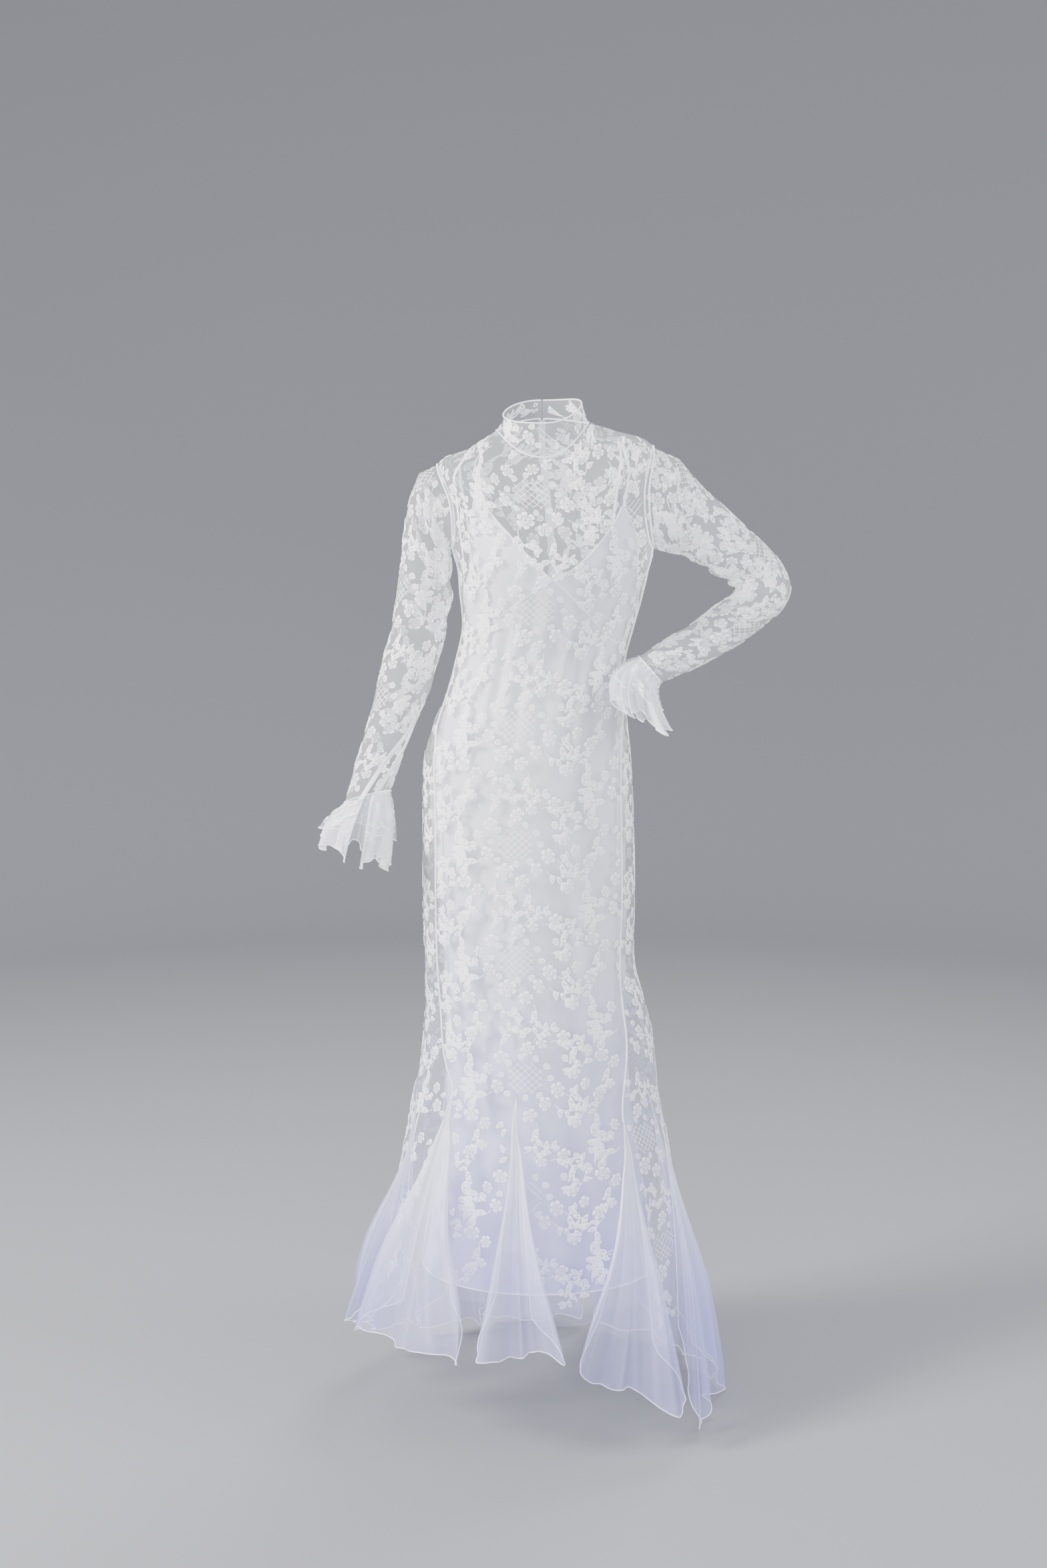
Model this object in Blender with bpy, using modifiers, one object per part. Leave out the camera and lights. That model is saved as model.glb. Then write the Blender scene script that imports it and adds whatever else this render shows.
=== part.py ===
"""A floor-length lace gown over a plain slip, held hollow as it is worn.

Metres, +Z up. The origin is at the base of the neck, midway between the shoulders, where the
wearer holds the gown up, and the floor is 1.50 m below it. The front faces -Y, and the wearer's
left is +X. Angles go round the gown in degrees from the centre front towards the wearer's left.
"down" is how far a level lies below the origin at the front of the gown.
"""

import bisect
import math

import bmesh
import bpy
from mathutils import Vector

# Cloth
LACE_WALL = 0.0012
COLLAR_WALL = 0.0016
SATIN_WALL = 0.0012
ORGANZA_WALL = 0.0010
STRAP_WALL = 0.0010
SEAM = 0.0005
LAP = 0.0004
WELD = 0.00001

# Roundness of the sections: 2 is an ellipse, and more is squarer
SQUARENESS = 2.15


def table(names, rows):
    """Rows of numbers as dictionaries under the named columns."""
    return [dict(zip(names.split(), row)) for row in rows]


# Sections of the lace from the neck seam to the hem
FORM = table("down mid half front back", [
    (0.025, 0.000, 0.071, 0.072, 0.052),
    (0.055, 0.000, 0.110, 0.096, 0.072),
    (0.090, 0.004, 0.165, 0.112, 0.088),
    (0.122, 0.010, 0.163, 0.125, 0.096),
    (0.157, 0.016, 0.155, 0.134, 0.100),
    (0.182, 0.017, 0.148, 0.137, 0.100),
    (0.227, 0.014, 0.141, 0.131, 0.097),
    (0.278, 0.009, 0.132, 0.117, 0.091),
    (0.330, -0.003, 0.131, 0.108, 0.088),
    (0.382, -0.010, 0.139, 0.110, 0.095),
    (0.434, -0.019, 0.152, 0.116, 0.107),
    (0.486, -0.023, 0.161, 0.120, 0.116),
    (0.590, -0.022, 0.164, 0.122, 0.120),
    (0.700, -0.021, 0.165, 0.123, 0.118),
    (0.804, -0.019, 0.163, 0.126, 0.118),
    (0.858, -0.012, 0.169, 0.132, 0.122),
    (0.912, -0.007, 0.178, 0.140, 0.130),
    (0.966, -0.007, 0.185, 0.148, 0.138),
    (1.020, -0.010, 0.195, 0.158, 0.148),
    (1.080, -0.008, 0.208, 0.170, 0.160),
    (1.200, -0.010, 0.228, 0.190, 0.185),
    (1.350, -0.012, 0.245, 0.205, 0.205),
    (1.460, -0.012, 0.252, 0.212, 0.215),
])

# How far the shoulders and the nape rise above the front at the same level
YOKE = table("down right left back", [
    (0.025, 0.047, 0.059, 0.070),
    (0.055, 0.051, 0.077, 0.067),
    (0.090, 0.061, 0.089, 0.060),
    (0.122, 0.037, 0.052, 0.037),
    (0.157, 0.000, 0.000, 0.000),
    (0.200, 0.000, 0.000, 0.000),
])

# Angles of the seams down the front and the sides
SEAMS = table("down right front left", [
    (0.025, -90, 0, 90),
    (0.260, -90, 0, 90),
    (0.360, -84, 0, 86),
    (0.420, -74, 0, 70),
    (0.460, -64, 0, 63),
    (0.540, -59, 0, 60),
    (0.700, -59, 0, 59),
    (0.800, -60, -1, 57),
    (0.860, -58, -3, 51),
    (0.930, -52, -6, 47),
    (1.000, -38, -9, 42),
    (1.050, -37, -9, 41),
    (1.500, -37, -9, 40),
])

# Soft troughs in the lace between the godets: angle, half width in degrees, depth at the hem
TROUGHS = table("angle width depth", [
    (12, 13, 0.022),
    (-22, 9, 0.014),
    (57, 10, 0.016),
    (-70, 9, 0.010),
    (95, 9, 0.014),
    (128, 9, 0.014),
    (160, 9, 0.014),
    (-162, 9, 0.014),
    (-137, 9, 0.014),
    (-109, 9, 0.014),
])
TROUGHS_FROM, TROUGHS_TO = 1.00, 1.35

# The bust that the cups and gathers shape, the same on both sides
BUST_ANGLE, BUST_DOWN, BUST_WIDE, BUST_TALL, BUST_OUT = 34, 0.190, 20, 0.050, 0.007

# Armholes: levels of the shoulder tip and the underarm, and half their width in degrees
TIP, UNDERARM, ARMHOLE_HALF = 0.090, 0.157, 24
ARMHOLE_STEPS, ARMHOLE_INSET = 6, 0.0013

# Godets of organza. At the hem each runs from one edge of its slit, out over two folds, to the
# other edge: angles, how far the folds stand out, and the levels of the hem there. tongue is the
# hem of the lace on the side of growing angle.
GODETS = {
    name: dict(zip(
        "apex level from_edge from_fold to_fold to_edge "
        "from_out to_out from_hem to_hem tongue".split(), row))
    for name, row in {
        "godet_right_3": (-141, 1.02, -159, -165, -140, -146, 0.058, 0.054, 1.490, 1.480, 1.42),
        "godet_right_2": (-105, 1.02, -128, -135, -113, -116, 0.056, 0.054, 1.475, 1.440, 1.38),
        "godet_right_1": (-66, 1.02, -96, -104, -86, -82, 0.064, 0.050, 1.420, 1.385, 1.33),
        "godet_side_right": (-38, 0.978, -56, -72, -23, -32, 0.060, 0.082, 1.365, 1.345, 1.29),
        "godet_front": (-9, 0.983, -13, -12.5, 4, -1, 0.076, 0.066, 1.343, 1.346, 1.327),
        "godet_side_left": (41, 1.029, 24, 16, 43, 48, 0.052, 0.070, 1.376, 1.445, 1.39),
        "godet_left_1": (75, 1.045, 68, 61, 91, 84, 0.062, 0.064, 1.497, 1.497, 1.42),
        "godet_left_2": (113, 1.03, 105, 100, 124, 119, 0.058, 0.058, 1.497, 1.495, 1.43),
        "godet_left_3": (148, 1.02, 137, 132, 157, 150, 0.056, 0.058, 1.495, 1.492, 1.43),
        "godet_back": (180, 1.02, 171, 167, 193, 189, 0.058, 0.058, 1.492, 1.490, 1.43),
    }.items()
}
GODET_TIP, GODET_LAP = 0.42, 0.0008
FOLDS_OPEN_BY, FOLDS_SPREAD_BY = 0.60, 0.24
GODET_COLUMNS = 12
VALLEY = 0.45
TONGUE_CORNER = 0.020

# The lace panels, each from godet to godet
PANELS = {
    "lace_back_right": "back_start godet_right_3 godet_right_2 godet_right_1 godet_side_right",
    "lace_front": "godet_side_right godet_front godet_side_left",
    "lace_back_left": "godet_side_left godet_left_1 godet_left_2 godet_left_3 godet_back",
}
GORE_COLUMNS = {"lace_back_right": 3, "lace_front": 6, "lace_back_left": 3}
YOKE_LEVELS = (0.025, 0.040, 0.055, 0.072)
LOWER_LEVELS = (0.182, 0.225, 0.275, 0.330, 0.382, 0.434, 0.490, 0.590, 0.700, 0.804, 0.880)
TONGUE_ROWS = 5
LEVEL_OF_SLITS, BEND_OVER = 1.00, 0.15

# The slip below the bust, inside the lace
SLIP = table("down mid half front back", [
    (0.210, 0.015, 0.138, 0.126, 0.092),
    (0.300, 0.005, 0.123, 0.105, 0.083),
    (0.340, -0.003, 0.122, 0.101, 0.083),
    (0.420, -0.015, 0.140, 0.107, 0.097),
    (0.500, -0.020, 0.152, 0.112, 0.109),
    (0.600, -0.020, 0.153, 0.113, 0.111),
    (0.760, -0.012, 0.147, 0.116, 0.107),
    (0.900, -0.008, 0.146, 0.122, 0.112),
    (1.030, -0.006, 0.152, 0.132, 0.122),
    (1.290, -0.004, 0.188, 0.162, 0.152),
])
SLIP_INSET = 0.006
SLIP_HEM = 1.285
SLIP_BLEND = (0.30, 0.40)
SLIP_SIDE, SLIP_COLUMNS, SLIP_BACK_COLUMNS = 88, 18, 16
SLIP_ROWS, SLIP_ROW_GROWTH = 11, 1.35
UNDER_BUST = 0.209
UNDER_BUST_AT = 64
UNDER_BUST_DROP = {"right": 0.074, "left": 0.094}
BACK_TOP, BACK_DIP = 0.236, 0.014
GATHER_OUT, GATHERS_FROM, GATHERS_TO = 0.0020, 0.22, 0.46

# A cup of the slip from the under-bust seam up to its strap: the edge along the neckline and the
# edge along the side seam and the arm
CUP = table("inner inner_down outer outer_down", [
    (0, 0.209, 88, 0.303),
    (5, 0.195, 88, 0.270),
    (11, 0.178, 86, 0.238),
    (18, 0.161, 72, 0.212),
    (25, 0.144, 60, 0.185),
    (34, 0.122, 54, 0.141),
    (40.8, 0.098, 43.2, 0.099),
])
CUP_APEX_RISE = {"right": 0.020, "left": 0.0}
CUP_APEX_TURN = {"right": 4.0, "left": 0.0}
CUP_COLUMNS, CUP_ROWS, CUP_FOOT_SHARE = 9, 7, 1 / 3

# Straps as angle and down, over the shoulder from the cup to the back
STRAPS = {
    "left": [
        (46, 0.100), (54, 0.078), (68, 0.067), (90, 0.064),
        (112, 0.066), (132, 0.086), (141, 0.130), (145, 0.190),
    ],
    "right": [
        (-39, 0.085), (-46, 0.070), (-58, 0.055), (-75, 0.049), (-90, 0.048),
        (-106, 0.049), (-124, 0.058), (-136, 0.080), (-142, 0.120), (-145, 0.180),
    ],
}
STRAP_AT_BACK = 145.5
HANGER_LOOP = [
    (-84, 0.2325), (-70, 0.180), (-61, 0.130), (-57, 0.105), (-58, 0.082), (-70, 0.065),
    (-90, 0.061), (-110, 0.065), (-124, 0.085), (-126, 0.130), (-115, 0.190), (-97, 0.2350),
]
STRAP_WIDTH, STRAP_INSET, STRAP_STEPS = 0.004, 0.0052, 22

# Sleeves as pairs of points at the outer and the inner edge, seen from the front
RING = "outer_x outer_z inner_x inner_z mid_y half_y"
SLEEVES = {
    "right": table(RING, [
        (-0.189, -0.044, -0.1425, -0.1600, -0.006, 0.049),
        (-0.204, -0.084, -0.1415, -0.1660, -0.004, 0.050),
        (-0.213, -0.128, -0.1405, -0.1740, -0.002, 0.050),
        (-0.2185, -0.178, -0.1395, -0.1960, 0.000, 0.050),
        (-0.226, -0.232, -0.1395, -0.2320, 0.002, 0.048),
        (-0.234, -0.280, -0.1480, -0.2800, 0.003, 0.046),
        (-0.250, -0.335, -0.1600, -0.3260, 0.002, 0.046),
        (-0.261, -0.388, -0.1740, -0.3760, -0.002, 0.044),
        (-0.275, -0.440, -0.1990, -0.4280, -0.008, 0.040),
        (-0.291, -0.492, -0.2180, -0.4800, -0.014, 0.037),
        (-0.306, -0.548, -0.2360, -0.5310, -0.020, 0.035),
    ]),
    "left": table(RING, [
        (0.211, -0.023, 0.1770, -0.1590, -0.005, 0.049),
        (0.243, -0.060, 0.1940, -0.1630, 0.002, 0.050),
        (0.282, -0.093, 0.2190, -0.1690, 0.010, 0.049),
        (0.316, -0.124, 0.2470, -0.1830, 0.015, 0.047),
        (0.349, -0.152, 0.2730, -0.1980, 0.020, 0.045),
        (0.375, -0.183, 0.2900, -0.2080, 0.025, 0.044),
        (0.388, -0.216, 0.2980, -0.2160, 0.025, 0.044),
        (0.375, -0.249, 0.2920, -0.2270, 0.020, 0.043),
        (0.344, -0.276, 0.2680, -0.2450, 0.008, 0.038),
        (0.310, -0.300, 0.2400, -0.2650, -0.010, 0.035),
        (0.267, -0.324, 0.2050, -0.2860, -0.028, 0.033),
        (0.222, -0.345, 0.1710, -0.3070, -0.045, 0.031),
        (0.181, -0.361, 0.1470, -0.3220, -0.055, 0.030),
    ]),
}
SLEEVE_COLUMNS = 2 * ARMHOLE_STEPS

# The slit over the right wrist: where the sleeve's seam column lies, by ring, and the opening
SEAM_TURN = table("ring turn", [(0, 180), (7, 180), (9, 168), (10, 128), (11, 94)])
SLIT_FROM, SLIT_HALF, SLIT_SWELL, SLIT_NARROWING = 9.0, 12.0, 1.6, 0.9
PLACKET_HALF, PLACKET_STEPS, PLACKET_CLEAR = 14.0, 12, 0.8
# The placket's head: its height in rings, its share of the full width, and where both end
PLACKET_HEAD, HEAD_WIDTH, HEAD_WIDE_BY, HEAD_DONE_BY = 0.32, 0.3, 0.12, 0.20

# Cuff ruffles: the ring at the hem of the longer layer, and the waves round it
RUFFLES = {
    "right": dict(zip(RING.split(), (-0.344, -0.606, -0.236, -0.640, -0.045, 0.056))),
    "left": dict(zip(RING.split(), (0.189, -0.432, 0.106, -0.385, -0.104, 0.034))),
}
RUFFLE_WAVES, RUFFLE_OUT, RUFFLE_BEND = 6, 0.0065, 0.45
RUFFLE_COLUMNS = 30
RUFFLE_STOPS = {"lace": (0.0, 0.30, 0.64), "organza": (0.0, 0.30, 0.64, 1.0)}
RUFFLE_INSET = {"lace": 0.0, "organza": -0.0032}
RUFFLE_OPENING = {"right": 20.0, "left": 0.0}
BELL = {"right": 0.008, "left": 0.004}
CUFF_GAP = 0.0007

# The collar's top edge: section, and its height at the front, sides and back
COLLAR_TOP = {"mid": 0.0, "half": 0.0600, "front": 0.0625, "back": 0.0500}
COLLAR_Z = {"front": 0.027, "right": 0.046, "left": 0.064, "back": 0.074}
COLLAR_COLUMNS, COLLAR_ROWS, COLLAR_WAIST = 20, 3, 0.003

# The button strip down the centre back
STRIP_HALF, STRIP_TO = 0.006, 0.490
BUTTONS, BUTTON_RADIUS, BUTTON_HALF, BUTTON_LIFT = 12, 0.005, 0.0018, 0.0026
BUTTONS_FROM, BUTTONS_TO = 0.040, 0.475
BUTTON_SPOKES, BUTTON_RINGS = 8, 4

LACE_ROUGHNESS, SATIN_ROUGHNESS, ORGANZA_ROUGHNESS = 0.80, 0.45, 0.55

WHITE_LACE = (0.90, 0.90, 0.93)
WHITE_SATIN = (0.93, 0.93, 0.95)
COOL_ORGANZA = (0.80, 0.80, 0.95)


def start_fresh():
    """Removes what the scene holds and makes the gown's collections."""
    for old in list(bpy.data.objects):
        bpy.data.objects.remove(old, do_unlink=True)
    for title in ("lace_gown", "cutters"):
        group = bpy.data.collections.get(title) or bpy.data.collections.new(title)
        if group.name not in bpy.context.scene.collection.children:
            bpy.context.scene.collection.children.link(group)


def cloth_material(title, colour, roughness):
    material = bpy.data.materials.new(title)
    material.use_nodes = True
    shader = material.node_tree.nodes["Principled BSDF"]
    shader.inputs["Base Color"].default_value = (*colour, 1.0)
    shader.inputs["Roughness"].default_value = roughness
    shader.inputs["Metallic"].default_value = 0.0
    return material


def lerp(a, b, t):
    return a + (b - a) * t


def ease(t):
    """0 to 1 with a soft start and end, held at both."""
    t = min(1.0, max(0.0, t))
    return t * t * (3.0 - 2.0 * t)


def slope(rows, i, key, name):
    a, b = rows[max(i - 1, 0)], rows[min(i + 1, len(rows) - 1)]
    return (b[name] - a[name]) / (b[key] - a[key])


def value(rows, at, name, key="down"):
    """Smooth reading of a table between its rows."""
    keys = [row[key] for row in rows]
    i = max(0, min(len(rows) - 2, bisect.bisect_right(keys, at) - 1))
    a, b = rows[i], rows[i + 1]
    span = b[key] - a[key]
    t = min(1.0, max(0.0, (at - a[key]) / span))
    start, end = slope(rows, i, key, name) * span, slope(rows, i + 1, key, name) * span
    rest = b[name] - a[name]
    return a[name] + t * (start + t * (3 * rest - 2 * start - end + t * (start + end - 2 * rest)))


def along(points, t):
    """A point at t, from 0 to 1, on a smooth line through points of any dimension."""
    spans = len(points) - 1
    i = min(spans - 1, int(t * spans))
    t = t * spans - i
    a, b = Vector(points[i]), Vector(points[i + 1])
    before = Vector(points[i - 1]) if i else 2 * a - b
    after = Vector(points[i + 2]) if i + 2 <= spans else 2 * b - a
    start, end, rest = (b - before) / 2, (after - a) / 2, b - a
    return a + t * (start + t * (3 * rest - 2 * start - end + t * (start + end - 2 * rest)))


def rounded(part):
    """A sine or cosine, bent towards the squarer section."""
    return math.copysign(abs(part) ** (2.0 / SQUARENESS), part)


def bust(angle, down):
    tall = ((down - BUST_DOWN) / BUST_TALL) ** 2
    return BUST_OUT * sum(
        math.exp(-tall - ((angle - side * BUST_ANGLE) / BUST_WIDE) ** 2) for side in (-1, 1))


def trough(angle, down):
    depth = ease((down - TROUGHS_FROM) / (TROUGHS_TO - TROUGHS_FROM))
    if depth == 0.0:
        return 0.0
    total = 0.0
    for row in TROUGHS:
        apart = (angle - row["angle"] + 180) % 360 - 180
        total += row["depth"] * math.exp(-((apart / row["width"]) ** 2))
    return depth * total


def section(row, angle, out, lifts, z):
    """A point of one section: its sizes, moved out, and raised at the sides and the back."""
    turn = math.radians(angle)
    side, ahead = math.sin(turn), math.cos(turn)
    depth = row["front"] if ahead > 0 else row["back"]
    x = row["mid"] + (row["half"] + out) * rounded(side)
    y = -(depth + out) * rounded(ahead)
    rise = lifts["left"] if side > 0 else lifts["right"]
    back = 0.0 if ahead > 0 else lifts["back"]
    return Vector((x, y, z + rise * side * side + back * ahead * ahead))


def lace_form(angle, down):
    """A point on the outer side of the lace."""
    row = {name: value(FORM, down, name) for name in ("mid", "half", "front", "back")}
    lifts = {name: value(YOKE, down, name) for name in ("right", "left", "back")}
    out = bust(angle, down) - trough(angle, down)
    return section(row, angle, out, lifts, -down)


def normal_of(form, angle, down, level=False):
    """The direction out of a form at a point, level with the floor if asked."""
    turn, step = 0.5, 0.001
    round_it = form(angle + turn, down) - form(angle - turn, down)
    down_it = form(angle, down + step) - form(angle, down - step)
    out = down_it.cross(round_it)
    if level:
        out.z = 0.0
    return out.normalized()


def lace_out(angle, down, out, level=False):
    return lace_form(angle, down) + out * normal_of(lace_form, angle, down, level)


def turn_for(angle, down, length):
    """The change of angle that moves a point of the lace by length."""
    step = 0.5
    return length * 2 * step / (lace_form(angle + step, down) - lace_form(angle - step, down)).length


def slip_form(angle, down):
    """A point on the outer side of the slip: under the lace at the bust, and closer in below."""
    share = ease((down - SLIP_BLEND[0]) / (SLIP_BLEND[1] - SLIP_BLEND[0]))
    row = {name: value(SLIP, down, name) for name in ("mid", "half", "front", "back")}
    level = {"right": 0.0, "left": 0.0, "back": 0.0}
    low = section(row, angle, 0.0, level, -down)
    if share == 1.0:
        return low
    return lace_out(angle, down, -SLIP_INSET).lerp(low, share)


def lace_down(angle, depth):
    """The down of the lace's point that lies depth below the origin at this angle."""
    down, rounds = depth, 30
    for _ in range(rounds):
        rise = value(YOKE, down, "left" if angle > 0 else "right")
        down = 0.5 * down + 0.5 * (depth + rise * math.sin(math.radians(angle)) ** 2)
    return down


def link(obj, title="lace_gown"):
    bpy.data.collections[title].objects.link(obj)


def cloth(name, patches, wall, material, outward=False):
    """A wall of cloth on one or more grids, given as columns, rows and a function of both."""
    bm = bmesh.new()
    for columns, rows, point in patches:
        made = bmesh.ops.create_grid(bm, x_segments=columns, y_segments=rows, size=0.5)
        for vert in made["verts"]:
            column = round((vert.co.x + 0.5) * columns)
            row = round((vert.co.y + 0.5) * rows)
            vert.co = point(column, row)
    bmesh.ops.remove_doubles(bm, verts=bm.verts, dist=WELD)
    mesh = bpy.data.meshes.new(name)
    bm.to_mesh(mesh)
    bm.free()
    mesh.materials.append(material)
    mesh.shade_smooth()
    obj = bpy.data.objects.new(name, mesh)
    link(obj)
    shell = obj.modifiers.new("wall", "SOLIDIFY")
    shell.thickness = wall
    shell.offset = -1.0 if outward else 1.0
    shell.use_even_offset = False
    return obj


# The lace panels

def axis(name, down):
    """The angle of the line that runs down to a godet."""
    if name == "back_start":
        return -180.0
    if name == "godet_back":
        return 180.0
    fixed = {"godet_side_right": "right", "godet_front": "front", "godet_side_left": "left"}
    if name in fixed:
        return value(SEAMS, down, fixed[name])
    side, way = ("right", -1) if name.startswith("godet_right") else ("left", 1)
    start = value(SEAMS, LEVEL_OF_SLITS, side)
    share = (GODETS[name]["apex"] - start) / (way * 180.0 - start)
    return lerp(value(SEAMS, down, side) + way * armhole_cut(down), way * 180.0, share)


def godet_of(name):
    return GODETS["godet_back" if name == "back_start" else name]


def slit_edge(name, side, t):
    """The angle of a slit's edge at t, from 0 at its apex to 1 at the hem."""
    godet = godet_of(name)
    end = godet[side] - (360.0 if name == "back_start" else 0.0)
    return lerp(axis(name, godet["level"]), end, t)


def armhole_cut(down):
    """How far the armhole takes the edge of a panel back from the shoulder, in degrees."""
    t = 2 * (down - TIP) / (UNDERARM - TIP) - 1
    return ARMHOLE_HALF * math.sqrt(max(0.0, 1 - t * t))


def armhole_levels():
    turns = [math.pi * k / ARMHOLE_STEPS for k in range(ARMHOLE_STEPS + 1)]
    return tuple(lerp(TIP, UNDERARM, (1 - math.cos(turn)) / 2) for turn in turns)


UPPER_LEVELS = YOKE_LEVELS + armhole_levels() + LOWER_LEVELS


def tongue_hem(name, t):
    """The lace's hem between two slits, rounded up at its corners."""
    return godet_of(name)["tongue"] - TONGUE_CORNER * abs(2 * t - 1) ** 4


def gore(names, i, columns):
    """The point function of one gore of a lace panel, between two godets."""
    here, there = names[i], names[i + 1]
    last = len(UPPER_LEVELS)

    def point(column, row):
        t = column / columns
        apex = lerp(godet_of(here)["level"], godet_of(there)["level"], t)
        if row < last:
            down = UPPER_LEVELS[row]
            down += (apex - LEVEL_OF_SLITS) * ease(1 - (LEVEL_OF_SLITS - down) / BEND_OVER)
            start, end = axis(here, down), axis(there, down)
            if i == 0 and here.startswith("godet_side"):
                start += armhole_cut(down)
            if i + 2 == len(names) and there.startswith("godet_side"):
                end -= armhole_cut(down)
        else:
            share = (row - last) / TONGUE_ROWS
            down = lerp(apex, tongue_hem(here, t), share)
            start = slit_edge(here, "to_edge", share)
            end = slit_edge(there, "from_edge", share)
        if i == 0:
            start += turn_for(start, down, SEAM / 2)
        if i + 2 == len(names):
            end -= turn_for(end, down, SEAM / 2)
        return lace_form(lerp(start, end, t), down)

    return columns, last + TONGUE_ROWS, point


def lace_panels(material):
    for name, line in PANELS.items():
        names = line.split()
        columns = GORE_COLUMNS[name]
        cloth(name, [gore(names, i, columns) for i in range(len(names) - 1)], LACE_WALL, material)


# The godets

def godet_point(name):
    godet = GODETS[name]
    i = list(GODETS).index(name)
    before = list(GODETS)[i - 1]
    middle = (godet["from_fold"] + godet["to_fold"]) / 2
    valley = VALLEY * (godet["from_out"] + godet["to_out"]) / 2
    folds = [
        (godet["from_edge"], 0.0),
        (godet["from_fold"], godet["from_out"]),
        (middle, valley),
        (godet["to_fold"], godet["to_out"]),
        (godet["to_edge"], 0.0),
    ]
    from_hem = GODETS[before]["tongue"] - TONGUE_CORNER
    to_hem = godet["tongue"] - TONGUE_CORNER
    middle_hem = (godet["from_hem"] + godet["to_hem"]) / 2
    hem = [(from_hem, 0), (godet["from_hem"], 0), (middle_hem, 0), (godet["to_hem"], 0), (to_hem, 0)]
    start = axis(name, godet["level"])
    tip = lace_out(start, godet["level"], GODET_LAP, level=True)

    def point(column, row):
        t, share = column / GODET_COLUMNS, row / TONGUE_ROWS
        if row == 0:
            return tip.lerp(point(0, 1).lerp(point(GODET_COLUMNS, 1), t), GODET_TIP)
        turn, out = along(folds, t)
        open_out = share * ease(share / FOLDS_OPEN_BY)
        flat = lerp(slit_edge(name, "from_edge", share), slit_edge(name, "to_edge", share), t)
        angle = lerp(flat, lerp(start, turn, share), ease(share / FOLDS_SPREAD_BY))
        down = lerp(godet["level"], along(hem, t)[0], share)
        if column == 0:
            angle += turn_for(angle, down, LAP)
        if column == GODET_COLUMNS:
            angle -= turn_for(angle, down, LAP)
        return lace_out(angle, down, GODET_LAP + max(0.0, out) * open_out, level=True)

    return GODET_COLUMNS, TONGUE_ROWS, point


def godets(material):
    for name in GODETS:
        cloth(name, [godet_point(name)], ORGANZA_WALL, material)


# The sleeves and their cuffs

def armhole_point(side, turn):
    """A point of the armhole's edge, from the shoulder tip round the front to the underarm."""
    spin = math.radians(turn)
    down = lerp(TIP, UNDERARM, (1 - math.cos(spin)) / 2)
    angle = (1 if side == "left" else -1) * (90 - ARMHOLE_HALF * math.sin(spin))
    return lace_form(angle, down)


def ring_point(ring, side, turn):
    """A point of a sleeve's ring, from its outer edge round the front on the right arm."""
    spin = math.radians(turn)
    outer = Vector((ring["outer_x"], ring["mid_y"], ring["outer_z"]))
    inner = Vector((ring["inner_x"], ring["mid_y"], ring["inner_z"]))
    front = Vector((0.0, -ring["half_y"], 0.0))
    return (outer + inner) / 2 + (outer - inner) / 2 * math.cos(spin) + front * math.sin(spin)


def ring_middle(ring):
    return Vector((
        (ring["outer_x"] + ring["inner_x"]) / 2, ring["mid_y"],
        (ring["outer_z"] + ring["inner_z"]) / 2))


def sleeve_point(side, turn, at):
    """A point of a sleeve at ring number at: 0 is the armhole."""
    rings = SLEEVES[side]
    if at >= 1:
        numbered = [dict(ring, number=i + 1) for i, ring in enumerate(rings)]
        ring = {name: value(numbered, at, name, "number") for name in RING.split()}
        return ring_point(ring, side, turn)
    edge = armhole_point(side, turn)
    centre = (armhole_point(side, 0) + armhole_point(side, 180)) / 2
    edge += (centre - edge).normalized() * ARMHOLE_INSET
    return edge.lerp(ring_point(rings[0], side, turn), at)


def slit_half(at):
    """Half the opening of the slit over the right wrist, in degrees of the ring."""
    last = len(SLEEVES["right"])
    t = min(1.0, max(0.0, (at - SLIT_FROM) / (last - SLIT_FROM)))
    return SLIT_HALF * math.sqrt(t) * (SLIT_SWELL - SLIT_NARROWING * t)


def sleeve(side, material):
    rings = len(SLEEVES[side])
    stops = [0, 0.5] + [1 + k for k in range(rings)]
    if side == "right":
        stops = stops[:-2] + [rings - 1.5, rings - 1, rings - 0.5, rings]
    way = 1 if side == "right" else -1

    def point(column, row):
        at = stops[row]
        seam, half = 180.0, 0.0
        if side == "right":
            seam, half = value(SEAM_TURN, at, "turn", "ring"), slit_half(at)
        turn = lerp(seam + half, seam + 360 - half, column / SLEEVE_COLUMNS)
        return sleeve_point(side, way * turn, at)

    return cloth(f"sleeve_{side}", [(SLEEVE_COLUMNS, len(stops) - 1, point)], LACE_WALL, material)


def placket(material):
    """The bound edge of the slit: up one side, round its top and down the other, on the sleeve."""
    rings = len(SLEEVES["right"])

    def point(column, row):
        side = row / PLACKET_STEPS - 1
        t = side * side
        at = lerp(SLIT_FROM, rings, t)
        half = slit_half(at) + PLACKET_CLEAR
        across = column / 2
        half += across * PLACKET_HALF * lerp(HEAD_WIDTH, 1.0, ease(t / HEAD_WIDE_BY))
        at -= across * PLACKET_HEAD * (1 - ease(t / HEAD_DONE_BY))
        seam = value(SEAM_TURN, at, "turn", "ring")
        turn = seam + math.copysign(1, side) * half * min(1.0, abs(side) * PLACKET_STEPS)
        here = sleeve_point("right", turn, at)
        centre = (sleeve_point("right", turn + 180, at) + here) / 2
        return here + (here - centre).normalized() * LAP * 2

    return cloth("sleeve_placket_right", [(2, 2 * PLACKET_STEPS, point)], SATIN_WALL, material,
                 outward=True)


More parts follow.
